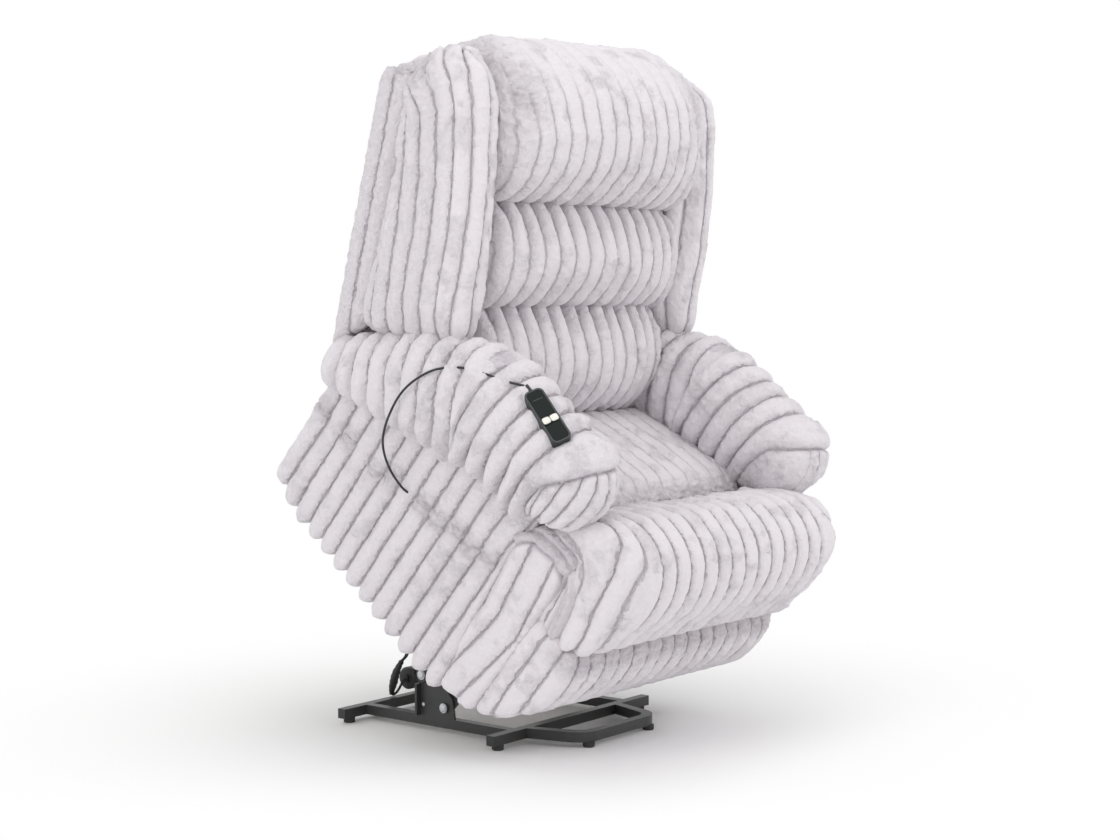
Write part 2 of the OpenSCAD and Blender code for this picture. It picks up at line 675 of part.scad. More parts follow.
roll_profile = [[roll_back, roll_seam_z + 2], [-58, roll_seam_z + 2], [-80, 320],
    [16 - roll_bulge, 355], [2 - roll_bulge, 400], [-roll_bulge, 440], [8 - roll_bulge, 485],
    [30 - roll_bulge, 515], [-30, 538], [25, 538], [78, 504], [118, 476], [141, 448],
    [141, board_z1 + soft_gap], [roll_back, board_z1 + soft_gap]];
module footrest_roll() color(fur) on_chair() intersection() {
    slab(roll_profile, -roll_half, roll_half);
    front_trim();
}
apron_profile = [[roll_back, roll_seam_z - 2], [-58, roll_seam_z - 2], [-82, 240],
    [-86, 195], [-74, 145], [-48, 98], [-10, 52], [20, 26], [roll_back, 20]];
module footrest_apron() color(fur) on_chair() intersection() {
    slab(apron_profile, -roll_half, roll_half);
    front_trim();
}
flank_profile = [[board_y, 16], [board_y, board_z1], [138, board_z1], [front_line_top[0] - 5, 396],
    [front_line_low[0] - 5, 2], [70, 4]];
module footrest_side(side) color(fur_shade) on_chair() mirrored(side)
    slab(flank_profile, board_half + soft_gap, body_half - 2);
module left_footrest_side() footrest_side(-1);
module right_footrest_side() footrest_side(1);

// ---- handset, lying on the arm, along its own axes ----
handset_roll = 39;
handset_yaw = -9;
handset_shift = -5;
handset_up = 30;
arm_pitch = atan2(arm_mid[1] - arm_front[1], arm_mid[0] - arm_front[0]);
module on_handset() on_chair() translate([-arm_x, arm_front[0], arm_front[1]])
    rotate([arm_pitch, 0, 0]) rotate([0, -handset_roll, 0])
        translate([handset_shift, handset_up, arm_r + soft_gap])
            rotate([0, 0, handset_yaw]) children();
handset_r = 12;
module handset_plan(inset) {
    w = handset_w / 2 - inset;
    r = handset_r - inset;
    translate([-w, inset + r]) square([2 * w, handset_l - 2 * inset - 2 * r]);
    translate([-w + r, inset]) square([2 * (w - r), handset_l - 2 * inset]);
    for (s = [-1, 1]) for (y = [inset + r, handset_l - inset - r])
        translate([s * (w - r), y]) circle(r);
}
face_t = 2;
face_inset = 3;
button_y = 54;
button_dx = 8.5;
button_h = 5;
button_fit = 0.3;
module handset_body() color(hard_black) on_handset() difference() {
    linear_extrude(handset_t) handset_plan(0);
    translate([0, 0, handset_t - face_t]) linear_extrude(face_t + 1)
        handset_plan(face_inset);
    button_wells(handset_t - face_t - 6, 10);
}
module button_wells(z, h) for (s = [-1, 1])
    translate([s * button_dx, button_y, z]) cylinder(d = button_d + 2 * button_fit, h = h);
module handset_faceplate() color(hard_black) on_handset() difference() {
    translate([0, 0, handset_t - face_t]) linear_extrude(face_t)
        handset_plan(face_inset + 0.2);
    button_wells(handset_t - face_t - 1, 10);
}
button_travel = 1.5;
module handset_button(side) color([0.93, 0.91, 0.85]) on_handset()
    translate([side * button_dx, button_y, handset_t - face_t - 6 + button_travel])
        cylinder(d = button_d, h = 6 + face_t + button_h - 4);
relief_l = 22;
module handset_strain_relief() color(hard_black) on_handset()
    translate([0, handset_l, handset_t / 2]) rotate([-90, 0, 0])
        cylinder(d1 = 11, d2 = lead_d + 1.5, h = relief_l);
module raise_button() handset_button(-1);
module lower_button() handset_button(1);

// ---- leads: tubes swept along chosen points ----
function unit(v) = v / norm(v);
function lead_dir(p, i) = unit(p[min(i + 1, len(p) - 1)] - p[max(i - 1, 0)]);
function ring(c, d, r, n) =
    let (a = unit(cross(d, abs(d[0]) > 0.8 ? [0, 0, 1] : [1, 0, 0])), b = cross(d, a))
    [for (k = [0:n - 1]) c + r * (cos(360 * k / n) * a + sin(360 * k / n) * b)];
// Catmull-Rom points between the chosen ones
function smooth(p, m) = concat([for (i = [0:len(p) - 2]) for (j = [0:m - 1])
    let (t = j / m, a = p[max(i - 1, 0)], b = p[i], c = p[i + 1], d = p[min(i + 2, len(p) - 1)])
    0.5 * (2 * b + (c - a) * t + (2 * a - 5 * b + 4 * c - d) * t * t
        + (3 * b - a - 3 * c + d) * t * t * t)], [p[len(p) - 1]]);
module sweep_tube(points, radii, n) {
    m = len(points);
    rings = [for (i = [0:m - 1]) each ring(points[i], lead_dir(points, i), radii[i], n)];
    polyhedron(rings, concat(
        [for (i = [0:m - 2]) for (k = [0:n - 1])
            [i * n + k, i * n + (k + 1) % n, (i + 1) * n + (k + 1) % n, (i + 1) * n + k]],
        [[for (k = [n - 1:-1:0]) k]], [[for (k = [0:n - 1]) (m - 1) * n + k]]));
}
lead_route = [[-437, 330, 650], [-446, 358, 635], [-453, 378, 627], [-459, 397, 619],
    [-463, 424, 607], [-464, 455, 588], [-467, 485, 562], [-471, 507, 535], [-474, 524, 501],
    [-476, 535, 466], [-476, 539, 433], [-474, 538, 398], [-468, 535, 360], [-458, 528, 324],
    [-444, 513, 293], [-428, 488, 268], [-410, 459, 251], [-398, 444, 246], [-392, 439, 245]];
module handset_lead() color(hard_black) on_chair() {
    pts = smooth(lead_route, 2);
    sweep_tube(pts, [for (p = pts) lead_d / 2], 8);
}
grommet_t = 2;
module lead_grommet() color(hard_black) on_chair() translate([-body_half, 439, 245])
    rotate([0, -90, 0]) cylinder(d = 14, h = grommet_t);
// from the control box down to a tie on the rear rail, then up to the motor
harness_route = [[-60, -88, 681], [-64, -76, 665], [-72, -62, 630], [-84, -50, 570],
    [-96, -42, 470], [-104, -38, 360], [-109, -35, 250], [-110, -33, 160], [-110, -22, 125],
    [-110, -8, 90], [-109, 4, 62], [-104, 10, 45], [-98, 10, 38], [-93, 7, 48],
    [-90, 1, 66], [-86, -2, 75]];
harness_radii = [4, 4, 5, 5, 5, 5, 5, 6, 9, 9, 7, 5, 3.5, 3.5, 3.5, 3.5];
module cable_harness() color(hard_black) on_base() translate([0, base_depth, 0]) {
    m = 3;
    pts = smooth(harness_route, m);
    sweep_tube(pts, [for (i = [0:len(pts) - 1]) let (k = floor(i / m), f = i / m - k)
        harness_radii[k] * (1 - f) + harness_radii[min(k + 1, len(harness_radii) - 1)] * f], 10);
}

front_cross_rail();
rear_cross_rail();
left_side_rail();
right_side_rail();
front_loop();
rubber_feet();
rail_end_caps();
left_base_bracket();
right_base_bracket();
base_pivot_pins();
actuator_rear_clevis();
left_front_lift_link();
right_front_lift_link();
left_rear_lift_link();
right_rear_lift_link();
left_chassis_plate();
right_chassis_plate();
chassis_cross_tubes();
chassis_pins();
actuator_front_clevis();
actuator_gearbox();
actuator_motor();
actuator_tube();
actuator_rod();
seat_rails();
rear_rail();
seat_springs();
seat_cushion();
left_side_board();
right_side_board();
left_side_cover();
right_side_cover();
left_arm();
right_arm();
rear_dust_panel();
control_box();
back_frame();
back_hinge_plates();
rear_cover();
head_pillow();
middle_pillow();
lower_pillow();
left_wing();
right_wing();
footrest_lower_links();
footrest_upper_links();
footrest_brackets();
footrest_board();
footrest_roll();
footrest_apron();
left_footrest_side();
right_footrest_side();
handset_body();
handset_faceplate();
handset_strain_relief();
raise_button();
lower_button();
handset_lead();
lead_grommet();
cable_harness();
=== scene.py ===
"""Lift recliner: ribbed plush upholstery, base, handset and cables, dressed over the CAD model.

In order: axes and camera, helpers, how a soft piece is made, materials, cords, handset, bolts, the
sewn shape of each upholstery piece, the studio. Lengths in the chair's own axes are millimetres.
"""
import json
import math

import bpy
import bmesh
import numpy as np
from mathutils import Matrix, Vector


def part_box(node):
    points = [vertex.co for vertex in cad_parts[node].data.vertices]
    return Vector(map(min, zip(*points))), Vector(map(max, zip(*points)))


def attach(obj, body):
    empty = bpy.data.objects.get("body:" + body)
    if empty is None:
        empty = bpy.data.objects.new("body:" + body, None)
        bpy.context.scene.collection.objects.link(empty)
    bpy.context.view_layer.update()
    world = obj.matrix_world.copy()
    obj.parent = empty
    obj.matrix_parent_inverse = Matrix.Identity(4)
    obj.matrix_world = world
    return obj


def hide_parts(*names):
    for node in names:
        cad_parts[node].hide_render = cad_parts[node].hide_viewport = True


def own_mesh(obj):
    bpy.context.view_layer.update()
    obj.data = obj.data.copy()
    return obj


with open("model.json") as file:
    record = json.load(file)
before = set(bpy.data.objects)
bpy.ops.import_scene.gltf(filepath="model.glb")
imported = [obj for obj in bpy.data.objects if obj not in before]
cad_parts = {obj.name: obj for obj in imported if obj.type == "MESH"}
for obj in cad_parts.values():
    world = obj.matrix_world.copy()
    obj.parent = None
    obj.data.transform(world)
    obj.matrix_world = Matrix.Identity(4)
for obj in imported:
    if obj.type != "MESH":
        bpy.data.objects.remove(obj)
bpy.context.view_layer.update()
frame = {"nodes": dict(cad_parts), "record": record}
NODES = frame["nodes"]

# ---- the chair's own axes, in millimetres, with the chair level: x to the right, y back, z up ----
TILT = math.radians(40)         # how far the chair is tipped forward at rest
LIFT_Y, LIFT_Z = -50.5, 80.1    # where the tilt leaves the chair's origin, over the base's origin
MIDDLE_Y = 48.75                # the base's origin lies this far ahead of the model's
COS, SIN = math.cos(TILT), math.sin(TILT)


def to_world(p):
    """Chair millimetres to metres in the model's frame."""
    p = np.asarray(p, float)
    x, y, z = p[..., 0], p[..., 1], p[..., 2]
    return np.stack([x, y * COS - z * SIN + LIFT_Y - MIDDLE_Y, y * SIN + z * COS + LIFT_Z], -1) / 1000


def to_chair(p):
    """Metres in the model's frame to chair millimetres."""
    p = np.asarray(p, float) * 1000
    x, y, z = p[..., 0], p[..., 1] - LIFT_Y + MIDDLE_Y, p[..., 2] - LIFT_Z
    return np.stack([x, y * COS + z * SIN, -y * SIN + z * COS], -1)


def turn_to_chair(v):
    """Directions in the model's frame to the chair's axes."""
    x, y, z = v[..., 0], v[..., 1], v[..., 2]
    return np.stack([x, y * COS + z * SIN, -y * SIN + z * COS], -1)


# ---- camera: left of the front, level with the middle of the back, looking a little down ----
CAMERA_AT = (-3.4401, -2.7028 - MIDDLE_Y / 1000, 0.9726)
CAMERA_TURN = math.radians(51.4)
CAMERA_DIP = math.radians(3.666)
LENS = 63.91


def make_camera():
    data = bpy.data.cameras.new("camera")
    data.lens = LENS
    data.clip_end = 60.0
    cam = bpy.data.objects.new("camera", data)
    bpy.context.scene.collection.objects.link(cam)
    cam.location = CAMERA_AT
    look = Vector((math.sin(CAMERA_TURN) * math.cos(CAMERA_DIP),
                   math.cos(CAMERA_TURN) * math.cos(CAMERA_DIP), -math.sin(CAMERA_DIP)))
    cam.rotation_euler = look.to_track_quat("-Z", "Y").to_euler()
    bpy.context.scene.camera = cam


# ---- small helpers ----
MERGE_WITHIN = 1e-5


def link(obj):
    bpy.context.scene.collection.objects.link(obj)
    return obj


def new_piece(name, verts, faces, smooth=True):
    """A mesh object from points in metres, with its faces turned outwards."""
    mesh = bpy.data.meshes.new(name)
    mesh.from_pydata([tuple(v) for v in verts], [], [tuple(f) for f in faces])
    mesh.validate()
    bm = bmesh.new()
    bm.from_mesh(mesh)
    bmesh.ops.recalc_face_normals(bm, faces=bm.faces)
    bm.to_mesh(mesh)
    bm.free()
    mesh.polygons.foreach_set("use_smooth", [smooth] * len(mesh.polygons))
    return link(bpy.data.objects.new(name, mesh))


def cad_copy(node, name):
    """A merged, outward copy of a CAD node's mesh."""
    mesh = NODES[node].data.copy()
    mesh.materials.clear()
    bm = bmesh.new()
    bm.from_mesh(mesh)
    bmesh.ops.remove_doubles(bm, verts=bm.verts, dist=MERGE_WITHIN)
    bmesh.ops.recalc_face_normals(bm, faces=bm.faces)
    bm.to_mesh(mesh)
    bm.free()
    return link(bpy.data.objects.new(name, mesh))


def baked(obj):
    """Turns the modifiers' result into the object's own mesh."""
    depsgraph = bpy.context.evaluated_depsgraph_get()
    mesh = bpy.data.meshes.new_from_object(obj.evaluated_get(depsgraph), depsgraph=depsgraph)
    obj.modifiers.clear()
    obj.data = mesh
    return obj


def points(obj):
    """The places of an object's vertices, in metres."""
    co = np.empty(len(obj.data.vertices) * 3, np.float32)
    obj.data.vertices.foreach_get("co", co)
    return co.reshape(-1, 3).astype(float)


def normals(obj):
    n = np.empty(len(obj.data.vertices) * 3, np.float32)
    obj.data.vertex_normals.foreach_get("vector", n)
    return n.reshape(-1, 3).astype(float)


def set_points(obj, co):
    obj.data.vertices.foreach_set("co", np.asarray(co, np.float32).ravel())
    obj.data.update()


def set_attribute(obj, name, values):
    attribute = obj.data.attributes.get(name) or obj.data.attributes.new(name, "FLOAT", "POINT")
    attribute.data.foreach_set("value", np.asarray(values, np.float32))


# ---- smooth noise on a lattice, the same on every run ----
NOISE_SEED = 11
LATTICE = np.random.default_rng(NOISE_SEED).uniform(-1, 1, 1 << 16)


def lattice_value(i, j, k, seed):
    """A fixed value for each cell corner, picked from the lattice by hashing its whole numbers."""
    h = (i * 73856093) ^ (j * 19349663) ^ (k * 83492791) ^ (seed * 2654435761)
    h = (h ^ (h >> 13)) * 1274126177
    return LATTICE[(h ^ (h >> 16)) & 0xFFFF]


def noise(p, size, seed=0):
    """Smooth values from -1 to 1 over points p, with bumps about size across."""
    q = np.asarray(p, float) / size
    cell = np.floor(q).astype(np.int64)
    f = q - cell
    f = f * f * f * (f * (f * 6 - 15) + 10)
    total = 0
    for di in (0, 1):
        wx = f[:, 0] if di else 1 - f[:, 0]
        for dj in (0, 1):
            wy = f[:, 1] if dj else 1 - f[:, 1]
            for dk in (0, 1):
                wz = f[:, 2] if dk else 1 - f[:, 2]
                total = total + wx * wy * wz * lattice_value(
                    cell[:, 0] + di, cell[:, 1] + dj, cell[:, 2] + dk, seed)
    return total


def ramp(x, a, b):
    """0 before a, 1 after b, smooth between."""
    t = np.clip((x - a) / (b - a), 0, 1)
    return t * t * (3 - 2 * t)


# ---- ribs ----
RIB = 49.0              # width of one rib of the plush
RIB_FULLNESS = 0.72     # below 1 a rib is fuller, and its creases are narrower


def ribs(u, pitch=RIB):
    """Height 0 in a crease and 1 on a crest, the rib's number, and the distance from its crease."""
    k = np.floor(u / pitch)
    f = u / pitch - k
    d = 1 - np.abs(2 * f - 1)
    return (1 - (1 - d) ** 2) ** RIB_FULLNESS, k, d


def crumple(k, v, size, seed):
    """Dents that cross single ribs, as a plush cover gathers."""
    c = noise(np.stack([k * 3.7 + 0.5, v / size, k * 0.0 + seed], -1), 1.0, seed)
    return ramp(c, 0.30, 0.85)


# ---- soft pieces from their CAD solids ----
VOXEL = 0.0068
REAR_COVER_VOXEL = 0.0080       # the largest cover is meshed a little coarser
CLOTH_FRAMES = 20
COVER_STIFFNESS, COVER_BENDING = 12, 0.5


def relax(obj, factor, times):
    """Rounds a mesh by drawing each point towards its neighbours."""
    smooth = obj.modifiers.new("smooth", "SMOOTH")
    smooth.factor = factor
    smooth.iterations = times
    return baked(obj)


def puff(obj, pressure, cap):
    """Blows the cover up a little with a cloth simulation, so that it wrinkles, and caps its travel."""
    before = points(obj)
    cloth = obj.modifiers.new("cloth", "CLOTH")
    s = cloth.settings
    s.use_pressure = True
    s.uniform_pressure_force = pressure
    s.effector_weights.gravity = 0
    s.quality = 4
    s.tension_stiffness = s.compression_stiffness = COVER_STIFFNESS
    s.bending_stiffness = COVER_BENDING
    cloth.collision_settings.use_collision = False
    cloth.point_cache.frame_start = 1
    cloth.point_cache.frame_end = CLOTH_FRAMES
    for f in range(1, CLOTH_FRAMES + 1):
        bpy.context.scene.frame_set(f)
    depsgraph = bpy.context.evaluated_depsgraph_get()
    blown = bpy.data.meshes.new_from_object(obj.evaluated_get(depsgraph), depsgraph=depsgraph)
    obj.modifiers.clear()
    after = np.empty(len(blown.vertices) * 3, np.float32)
    blown.vertices.foreach_get("co", after)
    bpy.data.meshes.remove(blown)
    bpy.context.scene.frame_set(1)
    move = after.reshape(-1, 3) - before
    length = np.linalg.norm(move, axis=1, keepdims=True) + 1e-9
    move *= cap * np.tanh(length / cap) / length
    set_points(obj, before + move)
    return obj


def soft_base(node, name, grow, pressure, cap, relaxing, voxel=VOXEL):
    """A rounded copy of a soft CAD solid, finely meshed and filled out again after its rounding."""
    obj = cad_copy(node, name)
    remesh = obj.modifiers.new("remesh", "REMESH")
    remesh.mode = "VOXEL"
    remesh.voxel_size = voxel
    baked(obj)
    relax(obj, *relaxing)
    set_points(obj, points(obj) + normals(obj) * grow)
    if pressure:
        puff(obj, pressure, cap)
    sub = obj.modifiers.new("subdivision", "SUBSURF")
    sub.levels = sub.render_levels = 1
    return baked(obj)


PATCH, TUFT, CLUMP = 34.0, 15.0, 7.5        # sizes of ruffled patches, tufts and clumps of pile


def finish_soft(obj, shape, node, body, seed):
    """Adds the sewn shape and the lie of the pile, then the material and what the piece rides on.

    A shape returns each point's offset and rib coordinate, and may return how strong its crease
    line's painted shade and groove are, how much painted shade lies in its folds, dents and seams, how
    ruffled it is, and how rough the whole piece is.
    """
    p, n = to_chair(points(obj)), turn_to_chair(normals(obj))
    look = shape(p, n)
    ruffle = ramp(noise(p * (1.0, 1.0, 0.6), PATCH, seed + 2) + 0.6 * noise(p, TUFT, seed + 3), 0.0, 1.1)
    ruffle = np.maximum(0.8 * ruffle + look.get("rough", 0.0), look.get("ruffle", 0.0))
    pile = ((0.8 + 1.5 * ruffle) * noise(p, TUFT, seed)
            + (0.8 + 2.0 * ruffle) * noise(p, CLUMP, seed + 1))
    set_points(obj, to_world(p + look["offset"] + n * pile[:, None]))
    set_attribute(obj, "rib", look["rib"])
    # strength of the crease line's painted shade and groove, then the painted shade in folds, dents and
    # seams
    set_attribute(obj, "rib_line", np.clip(look.get("line", 1.0) * np.ones(len(p)), 0, 1))
    set_attribute(obj, "fold", np.clip(look.get("fold", 0.0) * np.ones(len(p)), 0, 1))
    set_attribute(obj, "ruffle", np.clip(ruffle, 0, 1))
    obj.data.polygons.foreach_set("use_smooth", [True] * len(obj.data.polygons))
    obj.data.materials.clear()
    obj.data.materials.append(PLUSH)
    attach(obj, body)
    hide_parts(node)
    return obj


# ---- materials ----
def socket(group, name, kind, in_out, value=None):
    """A named input or output of a node tree."""
    s = group.interface.new_socket(name=name, in_out=in_out, socket_type=kind)
    if value is not None:
        s.default_value = value
    return s


def grain_group():
    """Fine height and colour variation for a surface, at a size set by Scale."""
    g = bpy.data.node_groups.new("surface_grain", "ShaderNodeTree")
    socket(g, "Scale", "NodeSocketFloat", "INPUT", 300.0)
    socket(g, "Colour A", "NodeSocketColor", "INPUT", (0.5, 0.5, 0.5, 1))
    socket(g, "Colour B", "NodeSocketColor", "INPUT", (0.4, 0.4, 0.4, 1))
    socket(g, "Rough Low", "NodeSocketFloat", "INPUT", 0.4)
    socket(g, "Rough High", "NodeSocketFloat", "INPUT", 0.6)
    socket(g, "Color", "NodeSocketColor", "OUTPUT")
    socket(g, "Roughness", "NodeSocketFloat", "OUTPUT")
    socket(g, "Height", "NodeSocketFloat", "OUTPUT")
    n, l = g.nodes, g.links
    gi, go = n.new("NodeGroupInput"), n.new("NodeGroupOutput")
    coord = n.new("ShaderNodeTexCoord")
    fine = n.new("ShaderNodeTexNoise")
    fine.inputs["Detail"].default_value = 3
    broad = n.new("ShaderNodeTexNoise")
    broad.inputs["Scale"].default_value = 9
    mix = n.new("ShaderNodeMix")
    mix.data_type = "RGBA"
    rough = n.new("ShaderNodeMapRange")
    l.new(coord.outputs["Object"], fine.inputs["Vector"])
    l.new(coord.outputs["Object"], broad.inputs["Vector"])
    l.new(gi.outputs["Scale"], fine.inputs["Scale"])
    l.new(gi.outputs["Colour A"], mix.inputs["A"])
    l.new(gi.outputs["Colour B"], mix.inputs["B"])
    l.new(broad.outputs["Fac"], mix.inputs["Factor"])
    l.new(fine.outputs["Fac"], rough.inputs["Value"])
    l.new(gi.outputs["Rough Low"], rough.inputs["To Min"])
    l.new(gi.outputs["Rough High"], rough.inputs["To Max"])
    l.new(mix.outputs["Result"], go.inputs["Color"])
    l.new(rough.outputs["Result"], go.inputs["Roughness"])
    l.new(fine.outputs["Fac"], go.inputs["Height"])
    return g


GRAIN = grain_group()


def material(name):
    """A new material, its nodes, its links and its surface shader."""
    m = bpy.data.materials.new(name)
    m.use_nodes = True
    return m, m.node_tree.nodes, m.node_tree.links, m.node_tree.nodes["Principled BSDF"]


def grained(name, colour_a, colour_b, rough, scale, depth, metallic=0.0):
    """A hard surface with fine grain: colour, roughness and bump come from the shared group."""
    m, n, l, bsdf = material(name)
    g = n.new("ShaderNodeGroup")
    g.node_tree = GRAIN
    g.inputs["Scale"].default_value = scale
    g.inputs["Colour A"].default_value = (*colour_a, 1)
    g.inputs["Colour B"].default_value = (*colour_b, 1)
    g.inputs["Rough Low"].default_value = rough[0]
    g.inputs["Rough High"].default_value = rough[1]
    bump = n.new("ShaderNodeBump")
    bump.inputs["Distance"].default_value = depth
    bump.inputs["Strength"].default_value = 0.6
    l.new(g.outputs["Color"], bsdf.inputs["Base Color"])
    l.new(g.outputs["Roughness"], bsdf.inputs["Roughness"])
    l.new(g.outputs["Height"], bump.inputs["Height"])
    l.new(bump.outputs["Normal"], bsdf.inputs["Normal"])
    bsdf.inputs["Metallic"].default_value = metallic
    return m


# the second colour is the ruffled pile's own greyer tone and also painted shade beside the creases; the
# third is painted shade in the creases and folds
PLUSH_CREST = (0.795, 0.757, 0.787)
PLUSH_MOTTLE_AND_SHADE = (0.690, 0.650, 0.690)
PLUSH_CREASE_SHADE = (0.370, 0.330, 0.378)
CREASE_WIDTH = 0.085            # half width of a crease's painted shade line, as a share of a rib
BESIDE_WIDTH = 0.26             # the same for the painted shade beside it
# how strongly painted shade darkens the crease lines, the rib sides beside them and the folds
CREASE_DARKNESS, BESIDE_DARKNESS, FOLD_DARKNESS = 0.44, 0.42, 0.6
PILE_DEPTH = 0.0052


def crease_group():
    """Turns a rib coordinate into the thin painted shade line of a crease and the painted shade of the
    roundness beside it.
    """
    g = bpy.data.node_groups.new("rib_creases", "ShaderNodeTree")
    socket(g, "Rib", "NodeSocketFloat", "INPUT", 0.0)
    socket(g, "Width", "NodeSocketFloat", "INPUT", CREASE_WIDTH)
    socket(g, "Line", "NodeSocketFloat", "OUTPUT")
    socket(g, "Beside", "NodeSocketFloat", "OUTPUT")
    n, l = g.nodes, g.links
    gi, go = n.new("NodeGroupInput"), n.new("NodeGroupOutput")
    distance = n.new("ShaderNodeMath")
    distance.operation = "PINGPONG"
    distance.inputs[1].default_value = 0.5
    line, beside = n.new("ShaderNodeMapRange"), n.new("ShaderNodeMapRange")
    for m in (line, beside):
        m.interpolation_type = "SMOOTHSTEP"
        m.inputs["To Min"].default_value = 1.0
        m.inputs["To Max"].default_value = 0.0
        l.new(distance.outputs["Value"], m.inputs["Value"])
    beside.inputs["From Max"].default_value = BESIDE_WIDTH
    l.new(gi.outputs["Rib"], distance.inputs[0])
    l.new(gi.outputs["Width"], line.inputs["From Max"])
    l.new(line.outputs["Result"], go.inputs["Line"])
    l.new(beside.outputs["Result"], go.inputs["Beside"])
    return g


def plush():
    """Short, clumped pile, greyer-mauve where it is ruffled; painted shade darkens the creases, the rib
    sides beside them and the folds, so the crests stay paler.
    """
    m, n, l, bsdf = material("plush_pale_lilac")

    def attribute(name):
        node = n.new("ShaderNodeAttribute")
        node.attribute_name = name
        return node.outputs["Fac"]

    def maths(kind, a, b, clamp=False):
        node = n.new("ShaderNodeMath")
        node.operation = kind
        node.use_clamp = clamp
        for i, v in enumerate((a, b)):
            if isinstance(v, float):
                node.inputs[i].default_value = v
            else:
                l.new(v, node.inputs[i])
        return node.outputs["Value"]

    def noise_of(scale, detail, rough, distortion=0.0):
        node = n.new("ShaderNodeTexNoise")
        node.inputs["Scale"].default_value = scale
        node.inputs["Detail"].default_value = detail
        node.inputs["Roughness"].default_value = rough
        node.inputs["Distortion"].default_value = distortion
        l.new(coord.outputs["Object"], node.inputs["Vector"])
        return node.outputs["Fac"]

    def mapped(value, low, high, to_low, to_high):
        node = n.new("ShaderNodeMapRange")
        for key, v in (("From Min", low), ("From Max", high), ("To Min", to_low), ("To Max", to_high)):
            node.inputs[key].default_value = v
        l.new(value, node.inputs["Value"])
        return node.outputs["Result"]

    def blended(a, b, factor):
        node = n.new("ShaderNodeMix")
        node.data_type = "RGBA"
        for key, v in (("A", a), ("B", b)):
            if isinstance(v, tuple):
                node.inputs[key].default_value = (*v, 1)
            else:
                l.new(v, node.inputs[key])
        l.new(factor, node.inputs["Factor"])
        return node.outputs["Result"]

    coord = n.new("ShaderNodeTexCoord")
    ruffle, fold, strength = attribute("ruffle"), attribute("fold"), attribute("rib_line")
    tips = noise_of(330, 4, 0.7)
    clumps = noise_of(95, 3, 0.6, 0.5)
    tufts = noise_of(42, 2, 0.5, 0.8)
    creases = n.new("ShaderNodeGroup")
    creases.node_tree = CREASES
    ragged = maths("ADD", mapped(clumps, 0, 1, -0.07, 0.07), mapped(tufts, 0, 1, -0.05, 0.05))
    l.new(maths("ADD", attribute("rib"), ragged), creases.inputs["Rib"])
    l.new(mapped(tufts, 0.3, 0.7, CREASE_WIDTH * 0.4, CREASE_WIDTH * 1.6), creases.inputs["Width"])
    # painted shade: a thin line along each crease and the rib's roundness beside it
    line = maths("MULTIPLY", creases.outputs["Line"], strength)
    beside = maths("MULTIPLY", creases.outputs["Beside"], strength)
    speck = maths("MULTIPLY", mapped(clumps, 0.60, 0.40, 0.0, 0.8), mapped(ruffle, 0, 1, 0.2, 0.8))
    mottle_and_shade = maths("ADD", speck, mapped(ruffle, 0.2, 1.0, 0.0, 0.06), clamp=True)
    # painted shade of each rib's roundness beside its creases, added to the pile's own mottling
    mottle_and_shade = maths("ADD", mottle_and_shade, maths("MULTIPLY", beside, BESIDE_DARKNESS), clamp=True)
    # painted shade in the crease lines and in folds, dents and seams
    painted_shade = maths("MAXIMUM", maths("MULTIPLY", line, CREASE_DARKNESS),
                 maths("MULTIPLY", fold, FOLD_DARKNESS))
    colour = blended(blended(PLUSH_CREST, PLUSH_MOTTLE_AND_SHADE, mottle_and_shade), PLUSH_CREASE_SHADE, painted_shade)
    l.new(colour, bsdf.inputs["Base Color"])
    fibres = maths("ADD", maths("MULTIPLY", clumps, 1.6), maths("MULTIPLY", tips, 0.7))
    grain = maths("MULTIPLY", fibres, mapped(ruffle, 0, 1, 0.5, 1.25))
    height = maths("SUBTRACT", grain, maths("MULTIPLY", line, 1.1))
    bump = n.new("ShaderNodeBump")
    bump.inputs["Distance"].default_value = PILE_DEPTH
    bump.inputs["Strength"].default_value = 0.85
    l.new(height, bump.inputs["Height"])
    l.new(bump.outputs["Normal"], bsdf.inputs["Normal"])
    bsdf.inputs["Roughness"].default_value = 0.95
    bsdf.inputs["Specular IOR Level"].default_value = 0.12
    bsdf.inputs["Sheen Weight"].default_value = 0.30
    bsdf.inputs["Sheen Roughness"].default_value = 0.5
    bsdf.inputs["Sheen Tint"].default_value = (0.97, 0.95, 0.98, 1)
    return m


CREASES = crease_group()
PLUSH = plush()
POWDER = grained("powder_coat_black", (0.030, 0.031, 0.031), (0.040, 0.041, 0.041), (0.34, 0.50),
                 scale=900, depth=0.00012)
ZINC = grained("zinc_plate", (0.62, 0.63, 0.66), (0.50, 0.51, 0.54), (0.25, 0.42), metallic=1.0,
               scale=500, depth=0.00005)
RUBBER = grained("moulded_rubber", (0.020, 0.020, 0.020), (0.035, 0.035, 0.035), (0.62, 0.8),
                 scale=700, depth=0.0001)
BLACK_PLASTIC = grained("satin_black_plastic", (0.018, 0.019, 0.020), (0.026, 0.027, 0.028),
                        (0.38, 0.48), scale=1400, depth=0.00006)
GLOSS_PLASTIC = grained("gloss_black_plastic", (0.008, 0.012, 0.011), (0.010, 0.014, 0.013),
                        (0.12, 0.16), scale=200, depth=0.00001)
GLOSS_PLASTIC.node_tree.nodes["Principled BSDF"].inputs["Specular IOR Level"].default_value = 0.12
# grey for the printed bar, and a painted highlight on the bead round the handset's face
GREY_PRINT_AND_HIGHLIGHT = grained("grey_trim", (0.10, 0.11, 0.11), (0.13, 0.14, 0.14), (0.30, 0.40), scale=600,
               depth=0.00002)
BUTTON = grained("cream_button", (0.86, 0.84, 0.78), (0.82, 0.80, 0.74), (0.36, 0.46), scale=1200,
                 depth=0.00003)
JACKET = grained("cable_jacket", (0.015, 0.015, 0.016), (0.022, 0.022, 0.024), (0.40, 0.52),
                 scale=800, depth=0.00005)


